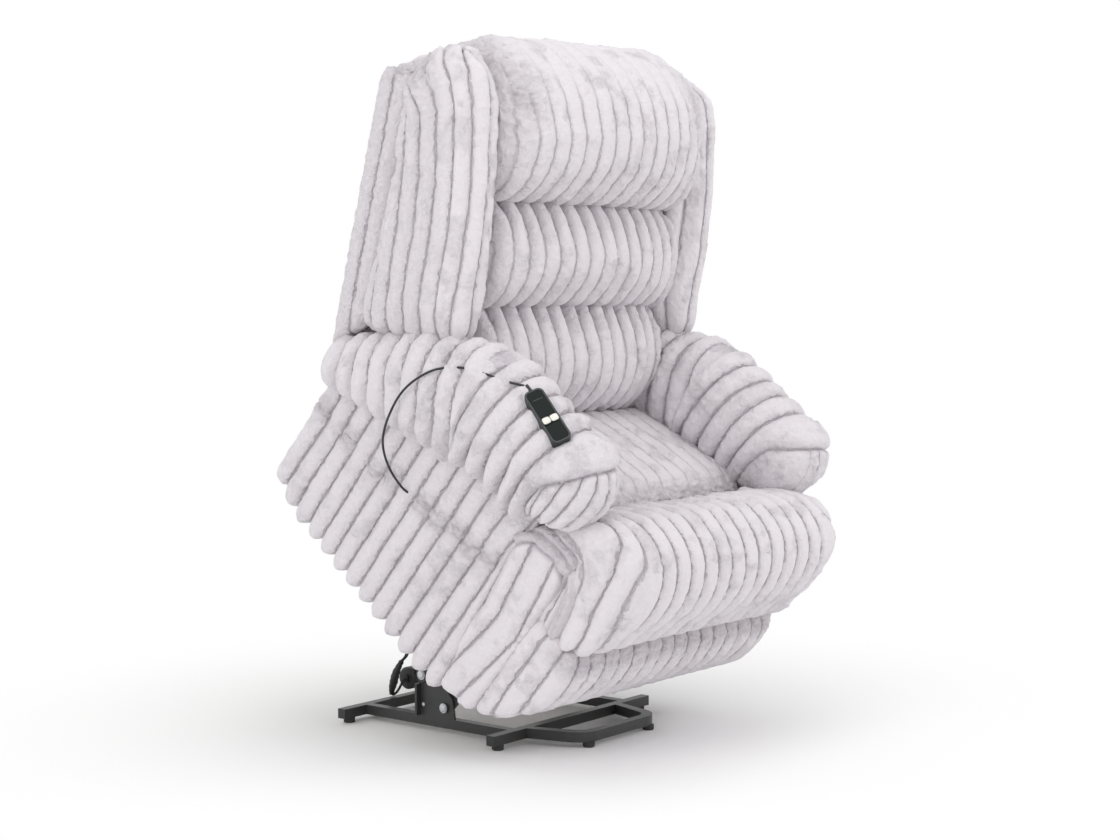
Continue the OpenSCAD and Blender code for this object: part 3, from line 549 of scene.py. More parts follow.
def timber():
    """Raw plywood and pine, with grain stretched along the boards."""
    m, n, l, bsdf = material("raw_timber")
    coord = n.new("ShaderNodeTexCoord")
    stretch = n.new("ShaderNodeMapping")
    stretch.inputs["Scale"].default_value = (4, 60, 60)
    rings = n.new("ShaderNodeTexNoise")
    rings.inputs["Scale"].default_value = 3
    rings.inputs["Detail"].default_value = 6
    colour = n.new("ShaderNodeValToRGB")
    colour.color_ramp.elements[0].color = (0.50, 0.33, 0.17, 1)
    colour.color_ramp.elements[1].color = (0.72, 0.55, 0.34, 1)
    bump = n.new("ShaderNodeBump")
    bump.inputs["Distance"].default_value = 0.0003
    l.new(coord.outputs["Object"], stretch.inputs["Vector"])
    l.new(stretch.outputs["Vector"], rings.inputs["Vector"])
    l.new(rings.outputs["Fac"], colour.inputs["Fac"])
    l.new(colour.outputs["Color"], bsdf.inputs["Base Color"])
    l.new(rings.outputs["Fac"], bump.inputs["Height"])
    l.new(bump.outputs["Normal"], bsdf.inputs["Normal"])
    bsdf.inputs["Roughness"].default_value = 0.7
    return m


TIMBER = timber()
FINISH = {"powder_coat": POWDER, "zinc": ZINC, "rubber": RUBBER, "black_plastic": BLACK_PLASTIC,
          "gloss_black": GLOSS_PLASTIC, "cream_button": BUTTON, "lead_jacket": JACKET,
          "plush": PLUSH, "timber": TIMBER}


def dress_cad_nodes():
    """Gives each CAD node the finish of its material slot."""
    for part in frame["record"]["subparts"]:
        mesh = NODES[part["node"]].data
        finish = FINISH[part["material_slot"]]
        if mesh.materials:
            for i in range(len(mesh.materials)):
                mesh.materials[i] = finish
        else:
            mesh.materials.append(finish)


# ---- cords: routes in the chair's axes for the lead, in the base's axes for the harness ----
LEAD_D = 0.005
LEAD_STEPS, HARNESS_STEPS = 5, 6        # points made between two points of a route
LEAD_ROUTE = [(-437, 330, 650), (-446, 358, 635), (-453, 378, 627), (-459, 397, 619),
              (-463, 424, 607), (-464, 455, 588), (-467, 485, 562), (-471, 507, 535),
              (-474, 524, 501), (-476, 535, 466), (-476, 539, 433), (-474, 538, 398),
              (-468, 535, 360), (-458, 528, 324), (-444, 513, 293), (-428, 488, 268),
              (-410, 459, 251), (-398, 444, 246), (-392, 439, 245)]
HARNESS_ROUTE = [(-60, 354, 681), (-64, 366, 665), (-72, 380, 630), (-84, 392, 570),
                 (-96, 400, 470), (-104, 404, 360), (-109, 407, 250), (-108, 408, 175),
                 (-106, 411, 140), (-108, 427, 120), (-110, 441, 95), (-110, 450, 70),
                 (-108, 458, 48), (-103, 460, 39), (-97, 455, 42), (-92, 448, 54),
                 (-88, 442, 70), (-86, 440, 75)]


def smooth_line(route, steps):
    """Catmull-Rom points through a route."""
    p = np.array(route, float)
    out = []
    for i in range(len(p) - 1):
        a, b, c, d = p[max(i - 1, 0)], p[i], p[i + 1], p[min(i + 2, len(p) - 1)]
        for j in range(steps):
            t = j / steps
            out.append(0.5 * (2 * b + (c - a) * t + (2 * a - 5 * b + 4 * c - d) * t * t
                              + (3 * b - a - 3 * c + d) * t ** 3))
    out.append(p[-1])
    return np.array(out)


def tube(name, line, radii, sides=14):
    """A closed tube along a line in metres."""
    m = len(line)
    tangent = np.gradient(line, axis=0)
    tangent /= np.linalg.norm(tangent, axis=1, keepdims=True)
    side = np.cross(tangent[0], (1.0, 0.2, 0.1))
    verts = []
    for i in range(m):
        side = side - tangent[i] * (side @ tangent[i])
        side /= np.linalg.norm(side)
        up = np.cross(tangent[i], side)
        for k in range(sides):
            a = 2 * math.pi * k / sides
            verts.append(line[i] + radii[i] * (math.cos(a) * side + math.sin(a) * up))
    faces = [(i * sides + k, i * sides + (k + 1) % sides, (i + 1) * sides + (k + 1) % sides,
              (i + 1) * sides + k) for i in range(m - 1) for k in range(sides)]
    faces += [tuple(range(sides - 1, -1, -1)), tuple((m - 1) * sides + k for k in range(sides))]
    return new_piece(name, verts, faces)


# how far each point of the route is moved out from the arm, so that the lead sinks in or clears the pile
LEAD_CLEAR = (0, 0, 0, 0, -3, -5, 2, 18, 24, 26, 26, 24, 20, 16, 12, 9, 6, 2, 0)
OUT_FROM_ARM = (-0.78, -0.62, 0.06)


def make_handset_lead():
    """The lead lies in the pile by the handset, then hangs clear of the arm down to its grommet."""
    route = np.array(LEAD_ROUTE, float)
    route += turn_to_chair(np.array(OUT_FROM_ARM)) * np.array(LEAD_CLEAR, float)[:, None]
    line = to_world(smooth_line(route, LEAD_STEPS))
    lead = tube("handset_lead_jacket", line, [LEAD_D / 2] * len(line))
    lead.data.materials.append(JACKET)
    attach(lead, "chassis")
    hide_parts("handset_lead")


def joined(name, parts):
    """One object from several closed meshes."""
    bm = bmesh.new()
    for part in parts:
        bm.from_mesh(part.data)
        bpy.data.objects.remove(part)
    mesh = bpy.data.meshes.new(name)
    bm.to_mesh(mesh)
    bm.free()
    mesh.polygons.foreach_set("use_smooth", [True] * len(mesh.polygons))
    return link(bpy.data.objects.new(name, mesh))


# points along the smoothed harness where its sleeve begins, its strands end in it, and it ends
SLEEVE_TOP, STRANDS_END, SLEEVE_FOOT = 53, 58, 75
STRAND_R, TAIL_R, TIE_R, SLEEVE_R, SLEEVE_SWELL = 0.0022, 0.003, 0.0062, 0.0038, 0.0058
STRANDS_APART = np.array([0.006, 0.002, 0.0])


def make_harness():
    """Two strands that meet in a braided sleeve, a tie at each end of it, and a tail to the motor."""
    line = smooth_line(HARNESS_ROUTE, HARNESS_STEPS) - np.array([0, MIDDLE_Y, 0])
    line /= 1000
    parts = []
    for sign in (-1, 1):
        close = ramp(np.arange(STRANDS_END + 1), STRANDS_END - 6, STRANDS_END)[:, None]
        strand = line[:STRANDS_END + 1] + sign * STRANDS_APART * (1 - close)
        parts.append(tube("strand", strand, [STRAND_R] * len(strand), 10))
    m = np.arange(SLEEVE_FOOT - SLEEVE_TOP + 1)
    swell = np.sin(np.clip(m / (SLEEVE_FOOT - SLEEVE_TOP), 0, 1) * math.pi) ** 0.9
    braid = 1 + 0.07 * np.sin(m * 2.1)
    parts.append(tube("sleeve", line[SLEEVE_TOP:SLEEVE_FOOT + 1],
                      (SLEEVE_R + SLEEVE_SWELL * swell) * braid, 16))
    for at in (SLEEVE_TOP + 1, SLEEVE_FOOT - 1):
        parts.append(tube("tie", line[at:at + 2], [TIE_R, TIE_R], 14))
    tail = line[SLEEVE_FOOT:]
    parts.append(tube("tail", tail, [TAIL_R] * len(tail), 10))
    harness = joined("harness_sleeve", parts)
    harness.data.materials.append(JACKET)
    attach(harness, "base")
    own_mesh(harness)
    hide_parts("cable_harness")


# ---- handset face: its axes start at the middle of its front end ----
HANDSET_ROLL, HANDSET_YAW = math.radians(39), math.radians(-9)
HANDSET_SHIFT, HANDSET_UP = -5.0, 30.0          # sideways and up the arm
HANDSET_L, HANDSET_W, HANDSET_T = 132.0, 41.0, 22.0
HANDSET_ON_ARM = (-388.0, 145.0, 568.0)         # the front end of the arm's middle line
ARM_TOP = 85.4                                  # from that line to the handset's underside
ARM_FALL = math.atan2(-3, 255)
BUTTON_Y, BUTTON_DX = 54.0, 8.5
BUTTON_TRAVEL = 1.5
FACE_MARGIN, FACE_CORNER = 5.4, 9.4
BEAD_R = 0.00055
BAR_HALF, BAR_TALL, BAR_SHARE = 11, 0.9, 0.81   # the printed bar, and its place up the handset


def handset_to_world(p):
    """Handset millimetres to metres in the model's frame."""
    p = np.asarray(p, float)
    x, y, z = p[:, 0], p[:, 1], p[:, 2]
    x, y = (x * math.cos(HANDSET_YAW) - y * math.sin(HANDSET_YAW) + HANDSET_SHIFT,
            x * math.sin(HANDSET_YAW) + y * math.cos(HANDSET_YAW) + HANDSET_UP)
    z = z + ARM_TOP
    x, z = (x * math.cos(HANDSET_ROLL) - z * math.sin(HANDSET_ROLL),
            x * math.sin(HANDSET_ROLL) + z * math.cos(HANDSET_ROLL))
    y, z = (y * math.cos(ARM_FALL) - z * math.sin(ARM_FALL),
            y * math.sin(ARM_FALL) + z * math.cos(ARM_FALL))
    return to_world(np.stack([x, y, z], -1) + np.array(HANDSET_ON_ARM))


def rounded_plan(w, l, r, steps=6):
    """Points round a rounded rectangle about the origin."""
    out = []
    for sx, sy, start in ((1, 1, 0), (-1, 1, 90), (-1, -1, 180), (1, -1, 270)):
        for i in range(steps + 1):
            a = math.radians(start + 90 * i / steps)
            out.append((sx * (w / 2 - r) + r * math.cos(a), sy * (l / 2 - r) + r * math.sin(a)))
    return out


def stacked(name, rings):
    """A closed solid through rings of points, the first and last capped."""
    n = len(rings[0])
    faces = [(i * n + k, i * n + (k + 1) % n, (i + 1) * n + (k + 1) % n, (i + 1) * n + k)
             for i in range(len(rings) - 1) for k in range(n)]
    faces += [tuple(range(n - 1, -1, -1)), tuple((len(rings) - 1) * n + k for k in range(n))]
    return new_piece(name, np.concatenate(rings), faces)


def make_button(node, sign):
    """A softly squared button cap on its round stem."""
    def ring(w, l, r, z):
        plan = np.array(rounded_plan(w, l, r))
        return handset_to_world(np.column_stack([plan[:, 0] + sign * BUTTON_DX, plan[:, 1] + BUTTON_Y,
                                                 np.full(len(plan), z)]))
    low = HANDSET_T + BUTTON_TRAVEL + 0.15
    cap = stacked("cap", [ring(14.4, 13.4, 4.0, low), ring(15.8, 14.8, 4.4, low + 0.5),
                          ring(15.8, 14.8, 4.4, low + 1.8), ring(14.6, 13.6, 4.2, low + 2.7),
                          ring(10.0, 9.0, 3.4, low + 3.2)])
    stem = stacked("stem", [ring(12.4, 12.4, 6.19, HANDSET_T - 5), ring(12.4, 12.4, 6.19, low + 0.4)])
    button = joined(node + "_cap", [cap, stem])
    button.data.materials.append(BUTTON)
    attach(button, node)
    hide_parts(node)


def make_handset_trim():
    """A raised bead round the gloss face, whose grey colour is a painted highlight along the face's
    edge, and a thin printed bar near its top.
    """
    plan = np.array(rounded_plan(HANDSET_W - FACE_MARGIN, HANDSET_L - FACE_MARGIN, FACE_CORNER))
    loop = np.column_stack([plan[:, 0], plan[:, 1] + HANDSET_L / 2,
                            np.full(len(plan), HANDSET_T + 0.1)])
    loop = handset_to_world(np.concatenate([loop, loop[:1]]))
    bead = tube("handset_bead", loop, [BEAD_R] * len(loop), 8)
    y = HANDSET_L * BAR_SHARE
    bar = stacked("handset_bar", [
        handset_to_world([(-BAR_HALF, y, z), (BAR_HALF, y, z), (BAR_HALF, y + BAR_TALL, z),
                          (-BAR_HALF, y + BAR_TALL, z)])
        for z in (HANDSET_T - 0.2, HANDSET_T + 0.12)])
    # the bead is raised and catches the lamps, and its grey is also a painted highlight; on the bar the
    # grey is print
    for piece in (bead, bar):
        piece.data.materials.append(GREY_PRINT_AND_HIGHLIGHT)
        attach(piece, "chassis")


# ---- bolt heads, in metres ----
HEAD_LEAST_RADIUS = 0.006
SCREW_BACK, SCREW_UP = 0.253, 0.062     # the small screw in a bracket, in the base's axes


def bolt_tree():
    """Geometry Nodes: a washer and a domed hexagon on each point, facing along its outward value."""
    tree = bpy.data.node_groups.new("bolt_heads", "GeometryNodeTree")
    n, l = tree.nodes, tree.links
    socket(tree, "Points", "NodeSocketGeometry", "INPUT")
    for name in ("Washer Radius", "Washer Height", "Hexagon Radius", "Hexagon Height", "Dome Height"):
        socket(tree, name, "NodeSocketFloat", "INPUT", 0.001)
    socket(tree, "Bolts", "NodeSocketGeometry", "OUTPUT")
    gi, go = n.new("NodeGroupInput"), n.new("NodeGroupOutput")

    def times(value, factor):
        node = n.new("ShaderNodeMath")
        node.operation = "MULTIPLY"
        node.inputs[1].default_value = factor
        l.new(value, node.inputs[0])
        return node.outputs["Value"]

    def standing_disc(sides, radius, height):
        """A disc that stands on the point, and the selection of its top face."""
        disc, up, move = (n.new("GeometryNodeMeshCylinder"), n.new("ShaderNodeCombineXYZ"),
                          n.new("GeometryNodeTransform"))
        disc.inputs["Vertices"].default_value = sides
        l.new(gi.outputs[radius], disc.inputs["Radius"])
        l.new(gi.outputs[height], disc.inputs["Depth"])
        l.new(times(gi.outputs[height], 0.5), up.inputs["Z"])
        l.new(disc.outputs["Mesh"], move.inputs["Geometry"])
        l.new(up.outputs["Vector"], move.inputs["Translation"])
        return move.outputs["Geometry"], disc.outputs["Top"]

    washer = standing_disc(32, "Washer Radius", "Washer Height")[0]
    head, top = standing_disc(6, "Hexagon Radius", "Hexagon Height")
    for rise, shrink in ((0.67, 0.86), (0.33, 0.70)):
        extrude, narrow = n.new("GeometryNodeExtrudeMesh"), n.new("GeometryNodeScaleElements")
        l.new(head, extrude.inputs["Mesh"])
        l.new(top, extrude.inputs["Selection"])
        l.new(times(gi.outputs["Dome Height"], rise), extrude.inputs["Offset Scale"])
        l.new(extrude.outputs["Mesh"], narrow.inputs["Geometry"])
        l.new(extrude.outputs["Top"], narrow.inputs["Selection"])
        narrow.inputs["Scale"].default_value = shrink
        head, top = narrow.outputs["Geometry"], extrude.outputs["Top"]
    both, place = n.new("GeometryNodeJoinGeometry"), n.new("GeometryNodeInstanceOnPoints")
    outward, turn = n.new("GeometryNodeInputNamedAttribute"), n.new("FunctionNodeAlignRotationToVector")
    outward.data_type = "FLOAT_VECTOR"
    outward.inputs["Name"].default_value = "outward"
    turn.axis = "Z"
    real, finish = n.new("GeometryNodeRealizeInstances"), n.new("GeometryNodeSetMaterial")
    finish.inputs["Material"].default_value = ZINC
    l.new(washer, both.inputs["Geometry"])
    l.new(head, both.inputs["Geometry"])
    l.new(outward.outputs["Attribute"], turn.inputs["Vector"])
    l.new(gi.outputs["Points"], place.inputs["Points"])
    l.new(both.outputs["Geometry"], place.inputs["Instance"])
    l.new(turn.outputs["Rotation"], place.inputs["Rotation"])
    l.new(place.outputs["Instances"], real.inputs["Geometry"])
    l.new(real.outputs["Geometry"], finish.inputs["Geometry"])
    l.new(finish.outputs["Geometry"], go.inputs["Bolts"])
    return tree


BOLTS = bolt_tree()


def make_bolts(name, body, places, **sizes):
    """Zinc bolt heads at places on the left or right, each facing away from the middle."""
    bolts = new_piece(name, places, [])
    outward = [(math.copysign(1, place[0]), 0, 0) for place in places]
    bolts.data.attributes.new("outward", "FLOAT_VECTOR", "POINT").data.foreach_set(
        "vector", np.ravel(outward))
    modifier = bolts.modifiers.new("bolts", "NODES")
    modifier.node_group = BOLTS
    for item in BOLTS.interface.items_tree:
        key = item.name.lower().replace(" ", "_")
        if key in sizes:
            modifier[item.identifier] = sizes[key]
    baked(bolts)
    bolts.data.polygons.foreach_set("use_smooth", [False] * len(bolts.data.polygons))
    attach(bolts, body)


def pin_ends(node):
    """The outer ends of the cross pins in a CAD node, and their heads' radius."""
    bm = bmesh.new()
    bm.from_mesh(NODES[node].data)
    bmesh.ops.remove_doubles(bm, verts=bm.verts, dist=MERGE_WITHIN)
    left, ends, radius = set(bm.verts), [], 0.0
    while left:
        pin, edge = set(), [left.pop()]
        while edge:
            v = edge.pop()
            pin.add(v)
            for e in v.link_edges:
                other = e.other_vert(v)
                if other in left:
                    left.discard(other)
                    edge.append(other)
        co = np.array([v.co[:] for v in pin])
        low, high = co.min(0), co.max(0)
        half = (high[2] - low[2]) / 2
        if half >= HEAD_LEAST_RADIUS and high[0] - low[0] >= half:
            middle = (low + high) / 2
            ends.append((float(high[0] if middle[0] > 0 else low[0]), *middle[1:].tolist()))
            radius = max(radius, float(half))
    bm.free()
    return sorted(ends), radius


def make_base_bolts():
    """A bolt head on each pin of the base brackets, and a small screw low in each bracket."""
    ends, radius = pin_ends("base_pivot_pins")
    make_bolts("base_pivot_pins_heads", "base", ends, washer_radius=1.28 * radius, washer_height=0.0016,
               hexagon_radius=1.02 * radius, hexagon_height=0.0046, dome_height=0.0012)
    bracket_face = abs(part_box("left_base_bracket")[0][0])
    y, z = SCREW_BACK - MIDDLE_Y / 1000, SCREW_UP
    make_bolts("base_bracket_screws", "base", [(-bracket_face, y, z), (bracket_face, y, z)],
               washer_radius=0.0040, washer_height=0.0006, hexagon_radius=0.0031,
               hexagon_height=0.0016, dome_height=0.0007)


make_camera()
make_handset_lead()
make_harness()
dress_cad_nodes()
make_button("raise_button", -1)
make_button("lower_button", 1)
make_handset_trim()
make_base_bolts()

# ---- sewn shapes: each takes points and normals in the chair's axes and says how they are shaped ----
# p[:, 0], p[:, 1] and p[:, 2] are a point's place sideways, back and up; n is its normal.
ARM_LINE = np.array([(145, 568), (400, 565), (565, 478), (752, 343)], float)   # back, up
ARM_X = 388.0
ARM_R = 85.0
BACK_FOOT = np.array([747.0, 390.0])
BACK_SLOPE = math.radians(25)
BACK_UP = np.array([math.sin(BACK_SLOPE), math.cos(BACK_SLOPE)])
BACK_FORE = np.array([-math.cos(BACK_SLOPE), math.sin(BACK_SLOPE)])


def up_back(p):
    """Distance up the back's slope, and forward of the rear cover."""
    yz = p[:, 1:] - BACK_FOOT
    return yz @ BACK_UP, yz @ BACK_FORE


def wander(p, size=170.0, amount=4.0, seed=3):
    """How far a rib strays sideways on its way."""
    return amount * noise(p, size, seed) + 0.3 * amount * noise(p, size / 4, seed + 1)


def plain_ribs(u, v, depth, seed, crumples=0.5, size=70.0):
    """Rib relief along the normal, the rib coordinate, how dented each point is and its rib height."""
    h, k = ribs(u)[:2]
    dent = crumple(k, v, size, seed)
    relief = depth * (h - 0.6) - crumples * depth * dent * (0.3 + 0.7 * h)
    return relief, u / RIB, dent, h


def gathers(p, size, seed):
    """Small, sharp gathers: height, and how deep in a fold each point is, which sets painted shade in
    the fold.
    """
    a = noise(p * (1.0, 1.0, 1.6), size, seed)
    b = noise(p, size * 0.55, seed + 1)
    fold = np.exp(-(a / 0.16) ** 2) + 0.6 * np.exp(-(b / 0.14) ** 2)
    return 0.8 * b + 0.5 * a - 0.5 * fold, np.clip(fold, 0, 1)


def near(distance, width):
    """1 at no distance, falling to 0 a little past the width."""
    return np.exp(-(distance / width) ** 2)


SEAT_GATHER = 162.0         # where the seat's cover is gathered, just behind the footrest's roll


def seat_shape(p, n):
    """Low ribs that run back over a well sat-in cushion, with a band of gathers along its front."""
    u = p[:, 0] + wander(p)
    relief, rib, dent = plain_ribs(u, p[:, 1], 4.5, 21, 0.9, 55)[:3]
    top = ramp(n[:, 2], 0.2, 0.7)
    edge = near(p[:, 1] - SEAT_GATHER, 26)
    bump, fold = gathers(p, 34, 25)
    depth = relief * (0.3 + 0.7 * top) + 5 * edge * bump
    # fold is painted shade in the dents and in the band of gathers
    return dict(offset=n * depth[:, None], rib=rib, line=0.5 * top * (1 - 0.5 * dent) * (1 - edge),
                fold=0.08 * dent * top + 0.6 * edge * fold, ruffle=np.maximum(edge, 0.35 * dent))


ROLL_HALF, ROLL_ROUND, ROLL_AHEAD = 380.0, 70.0, -98.0     # half width, end rounding, front
ROLL_CREASE, APRON_CREASE = 21.0, -3.0      # sideways place of one crease of each
ROLL_LEFT_RIB, ROLL_RIGHT_RIB = 50.5, 48.0  # rib widths to the left and right of that crease
ROLL_LEFT_END, ROLL_RIGHT_END = -9.3, 8.77  # rib coordinates at the welts
ROLL_SEAM = 280.0                           # height of the seam between roll and apron
FLANK_MIDDLE = 213.0                        # height at which the end face's ribs bend
FLANK_CREASES = (-41.0, -6.0, 43.0, 108.0, 155.0, 202.0)   # below that height
UPPER_CREASES = (-36.0, 11.0, 43.0, 108.0, 155.0, 202.0)   # above it
FLANK_LEAN, UPPER_LEAN = -0.165, 0.155      # how far the ribs lean back for their height
WELT_R = 8.0
WELT_ROUTE = [(176, 372, 0), (160, 398, 0), (123, 415, 0), (67, 419, 0), (27, 402, 0), (4, 366, 0),
              (-8, 313, 0), (-8, 268, 0), (10, 232, 0), (44, 212, 0)]


def nearest_on_route(yz, line):
    """Distance from a route in the chair's side view, and on which side of it."""
    best, inside = np.full(len(yz), 1e9), np.zeros(len(yz))
    for a, b in zip(line[:-1], line[1:]):
        d = (b - a) / np.linalg.norm(b - a)
        t = np.clip((yz - a) @ d, 0, np.linalg.norm(b - a))
        off = yz - a - t[:, None] * d
        gap = np.linalg.norm(off, axis=1)
        inside = np.where(gap < best, off @ np.array([-d[1], d[0]]), inside)
        best = np.minimum(best, gap)
    return best, inside


def pressed_down(yz, level=385.0, share=0.35):
    """Points with their height over a level pressed down to a share of itself."""
    return np.column_stack([yz[:, 0], np.minimum(yz[:, 1], level)
                            + share * np.maximum(yz[:, 1] - level, 0)])


def welt(p, n):
    """A gathered seam round the roll's end: bead, groove beside it, what it encloses, how far off."""
    line = smooth_line(WELT_ROUTE, 5)[:, :2]
    best, inside = nearest_on_route(p[:, 1:], line)
    from_welt = nearest_on_route(pressed_down(p[:, 1:]), pressed_down(line))[0]
    out = ramp(np.abs(n[:, 0]), 0.15, 0.5) * ramp(p[:, 2], 214, 250)
    bead = near(best, WELT_R) * out
    groove = near(np.abs(inside) - 13, 5.0) * near(best - 13, 6.0) * out
    enclosed = ramp(inside, -4, 4) * (p[:, 2] > FLANK_MIDDLE) + (p[:, 2] <= FLANK_MIDDLE)
    return bead, groove, enclosed, from_welt


def flank_look(p, n):
    """Relief, rib coordinate, crease strength and painted fold shade of the footrest's end face."""
    up = p[:, 2] - FLANK_MIDDLE
    across = p[:, 1] - np.where(up > 0, UPPER_LEAN, FLANK_LEAN) * up + wander(p, 120, 3)
    high = ramp(up, -25, 25)
    rib = (np.interp(across, UPPER_CREASES, np.arange(6.0)) * high
           + np.interp(across, FLANK_CREASES, np.arange(6.0)) * (1 - high))
    h = ribs(rib, 1.0)[0]
    bead, groove, enclosed = welt(p, n)[:3]
    bump, fold = gathers(p, 24, 37)
    relief = 14 * (h - 0.6) * enclosed * (1 - 0.8 * bead) + 9 * bead - 7 * groove + 3 * bump * bead
    line = enclosed * (1 - np.minimum(bead + groove, 1))
    # painted shade in the groove beside the welt and in the welt's gathers
    return relief, rib, line, 0.6 * groove + 0.3 * bead * fold


def round_the_end(p):
    """Distance sideways over the apron, carried on round its rounded ends to the side faces."""
    x, y = np.abs(p[:, 0]), p[:, 1]
    corner_x, corner_y = ROLL_HALF - ROLL_ROUND, ROLL_AHEAD + ROLL_ROUND
    qx, qy = np.maximum(x - corner_x, 0), np.maximum(corner_y - y, 0)
    round_u = corner_x + ROLL_ROUND * np.arctan2(qx, np.maximum(qy, 1e-3)) + np.maximum(y - corner_y, 0)
    return np.sign(p[:, 0]) * np.where((qx > 0) & ((qy > 0) | (x > ROLL_HALF - 12)), round_u, x)


def rib_count_over_roll(x, from_welt):
    """Rib coordinate over the roll; round its ends the creases close in on the welt."""
    u = x - ROLL_CREASE
    over = np.where(u < 0, u / ROLL_LEFT_RIB, u / ROLL_RIGHT_RIB)
    short = np.maximum(ROLL_HALF - np.abs(x), 0)
    round_end = (np.where(u < 0, ROLL_LEFT_END, ROLL_RIGHT_END)
                 + np.sign(-x) * (from_welt + 0.6 * short) / ROLL_RIGHT_RIB)
    ends = ramp(np.abs(x), ROLL_HALF - ROLL_ROUND + 2, ROLL_HALF - 2)
    return over * (1 - ends) + round_end * ends


def roll_shape(p, n):
    """Ribs over the roll from its seam below to its gathered rear, with a welted face at each end."""
    bead, groove, enclosed, from_welt = welt(p, n)
    rib = rib_count_over_roll(p[:, 0] + 0.8 * wander(p), from_welt)
    h, k = ribs(rib, 1.0)[:2]
    dent = crumple(k, p[:, 2] - p[:, 1], 70, 22)
    under_arm = ramp(p[:, 1], 60, 130)
    seam = near(p[:, 2] - ROLL_SEAM - 2, 16) * ramp(-p[:, 1], 10, 50)
    top_seam = ramp(p[:, 1], 95, 135)
    bump, fold = gathers(p, 34, 27)
    end_relief, end_rib, end_line, end_fold = flank_look(p, n)
    at_end = enclosed * ramp(np.abs(n[:, 0]), 0.35, 0.6)
    depth = (14 * (h - 0.6) - 3 * dent * h) * (1 - 0.6 * under_arm) - 9 * seam * (1.2 - h)
    depth = (depth + 4 * top_seam * bump) * (1 - at_end) + at_end * end_relief
    depth = depth * (1 - 0.8 * bead) + (1 - at_end) * (9 * bead - 6 * groove)
    line = (1 - 0.6 * top_seam) * (1 - at_end) * (1 - np.minimum(bead + groove, 1)) + at_end * end_line
    # painted shade in the seam's groove, in the gathers along the rear and on the end faces
    folds = np.maximum.reduce([0.55 * seam * (1 - h), 0.5 * top_seam * fold, at_end * end_fold])
    return dict(offset=n * depth[:, None], rib=np.where(at_end > 0.5, end_rib, rib), line=line,
                fold=folds, ruffle=np.maximum(0.8 * top_seam, 0.8 * bead))


def apron_shape(p, n):
    """Upright ribs under the roll, drawn in at the seam and gathered on the shoulder below it."""
    u = round_the_end(p) - APRON_CREASE + wander(p)
    relief, rib, _, h = plain_ribs(u, p[:, 2] - p[:, 1], 11.0, 23, 0.3)
    ahead = ramp(-p[:, 1], 10, 50)
    seam = near(p[:, 2] - ROLL_SEAM + 2, 14) * ahead
    bump, fold = gathers(p, 32, 29)
    shoulder = near(p[:, 2] - ROLL_SEAM + 26, 20) * ahead
    depth = relief - 6 * seam + 2.5 * shoulder * bump
    # fold is painted shade in the drawn-in seam and the gathers on the shoulder
    return dict(offset=n * depth[:, None], rib=rib,
                fold=np.maximum(0.7 * seam * (1 - 0.6 * h), 0.4 * shoulder * fold), ruffle=shoulder)


SIDE_CREASE, SIDE_PITCH = 276.0, 50.0       # place of one crease, and the ribs' width
CRUMPLE_AT = (200, 288)                     # a point of the crumpled band, back and up
CRUMPLE_FALL = 0.155


def rib_noise(k, seed):
    """One value for each rib."""
    return noise(np.stack([k, k * 0, k * 0 + 0.5], -1), 1.0, seed)


def side_shape(p, n):
    """Long ribs down the side, each ending round at the hem, with a band of crumples across them."""
    u = p[:, 1] - SIDE_CREASE + wander(p, 190, 5)
    h, k = ribs(u, SIDE_PITCH)[:2]
    out = np.abs(n[:, 0])
    band = near(p[:, 2] - CRUMPLE_AT[1] + CRUMPLE_FALL * (p[:, 1] - CRUMPLE_AT[0])
                - 22 * rib_noise(k, 33), 30)
    band = band * ramp(rib_noise(k * 1.7, 34), -0.5, 0.2)
    bump, fold = gathers(p, 26, 35)
    dent = crumple(k, p[:, 2], 42, 31) * ramp(p[:, 2], 60, 160)
    relief = 17 * (h - 0.6) - 3 * dent * h + 9 * band * bump
    offset = n * (relief * (0.2 + 0.8 * out))[:, None]
    hem = 1 - ramp(p[:, 2], -14, 34)
    offset[:, 2] += hem * (6 - 20 * h)
    # the front corner reaches up to the arm's underside
    corner = ramp(p[:, 2], 330, 410) * (1 - ramp(p[:, 1], 185, 250))
    offset[:, 1] -= 16 * corner
    offset[:, 2] += 14 * corner
    # fold is painted shade in the crumpled band and the dents
    return dict(offset=offset, rib=u / SIDE_PITCH, line=out * (1 - 0.3 * band),
                fold=out * np.maximum(0.6 * band * fold, 0.08 * dent),
                ruffle=np.maximum(band, 0.4 * dent), rough=0.18)


def footrest_side_shape(p, n):
    """Long ribs in line with the side cover's, a short one under the roll's end and a welt round it."""
    relief, rib, line, fold = flank_look(p, n)
    out = np.abs(n[:, 0])
    gap = ramp(rib, 3.45, 3.75)
    # fold is painted shade in the end face's folds and over the rear part of the face
    return dict(offset=n * (relief * (0.2 + 0.8 * out))[:, None], rib=rib, line=out * line,
                fold=out * np.maximum(fold, 0.4 * gap), ruffle=1 - line)


FOLD_AT = np.array([171.0, 543.0])          # the fold over an arm's front: a point, back and up
FOLD_UP = np.array([0.753, 0.658])          # and the direction square to it
ARM_PITCH, FAN_PITCH = 51.0, 27.0
ARM_REAR_R = 46.0


def seam_below_arm(y):
    """Height of the line on which an arm meets its side cover."""
    front = ARM_LINE[0]
    run = ARM_LINE[-1] - front
    angle = math.atan2(run[1], run[0]) + math.asin((ARM_R - ARM_REAR_R) / np.linalg.norm(run))
    touch = front + ARM_R * np.array([math.sin(angle), -math.cos(angle)])
    return touch[1] + (y - touch[0]) * math.tan(angle)


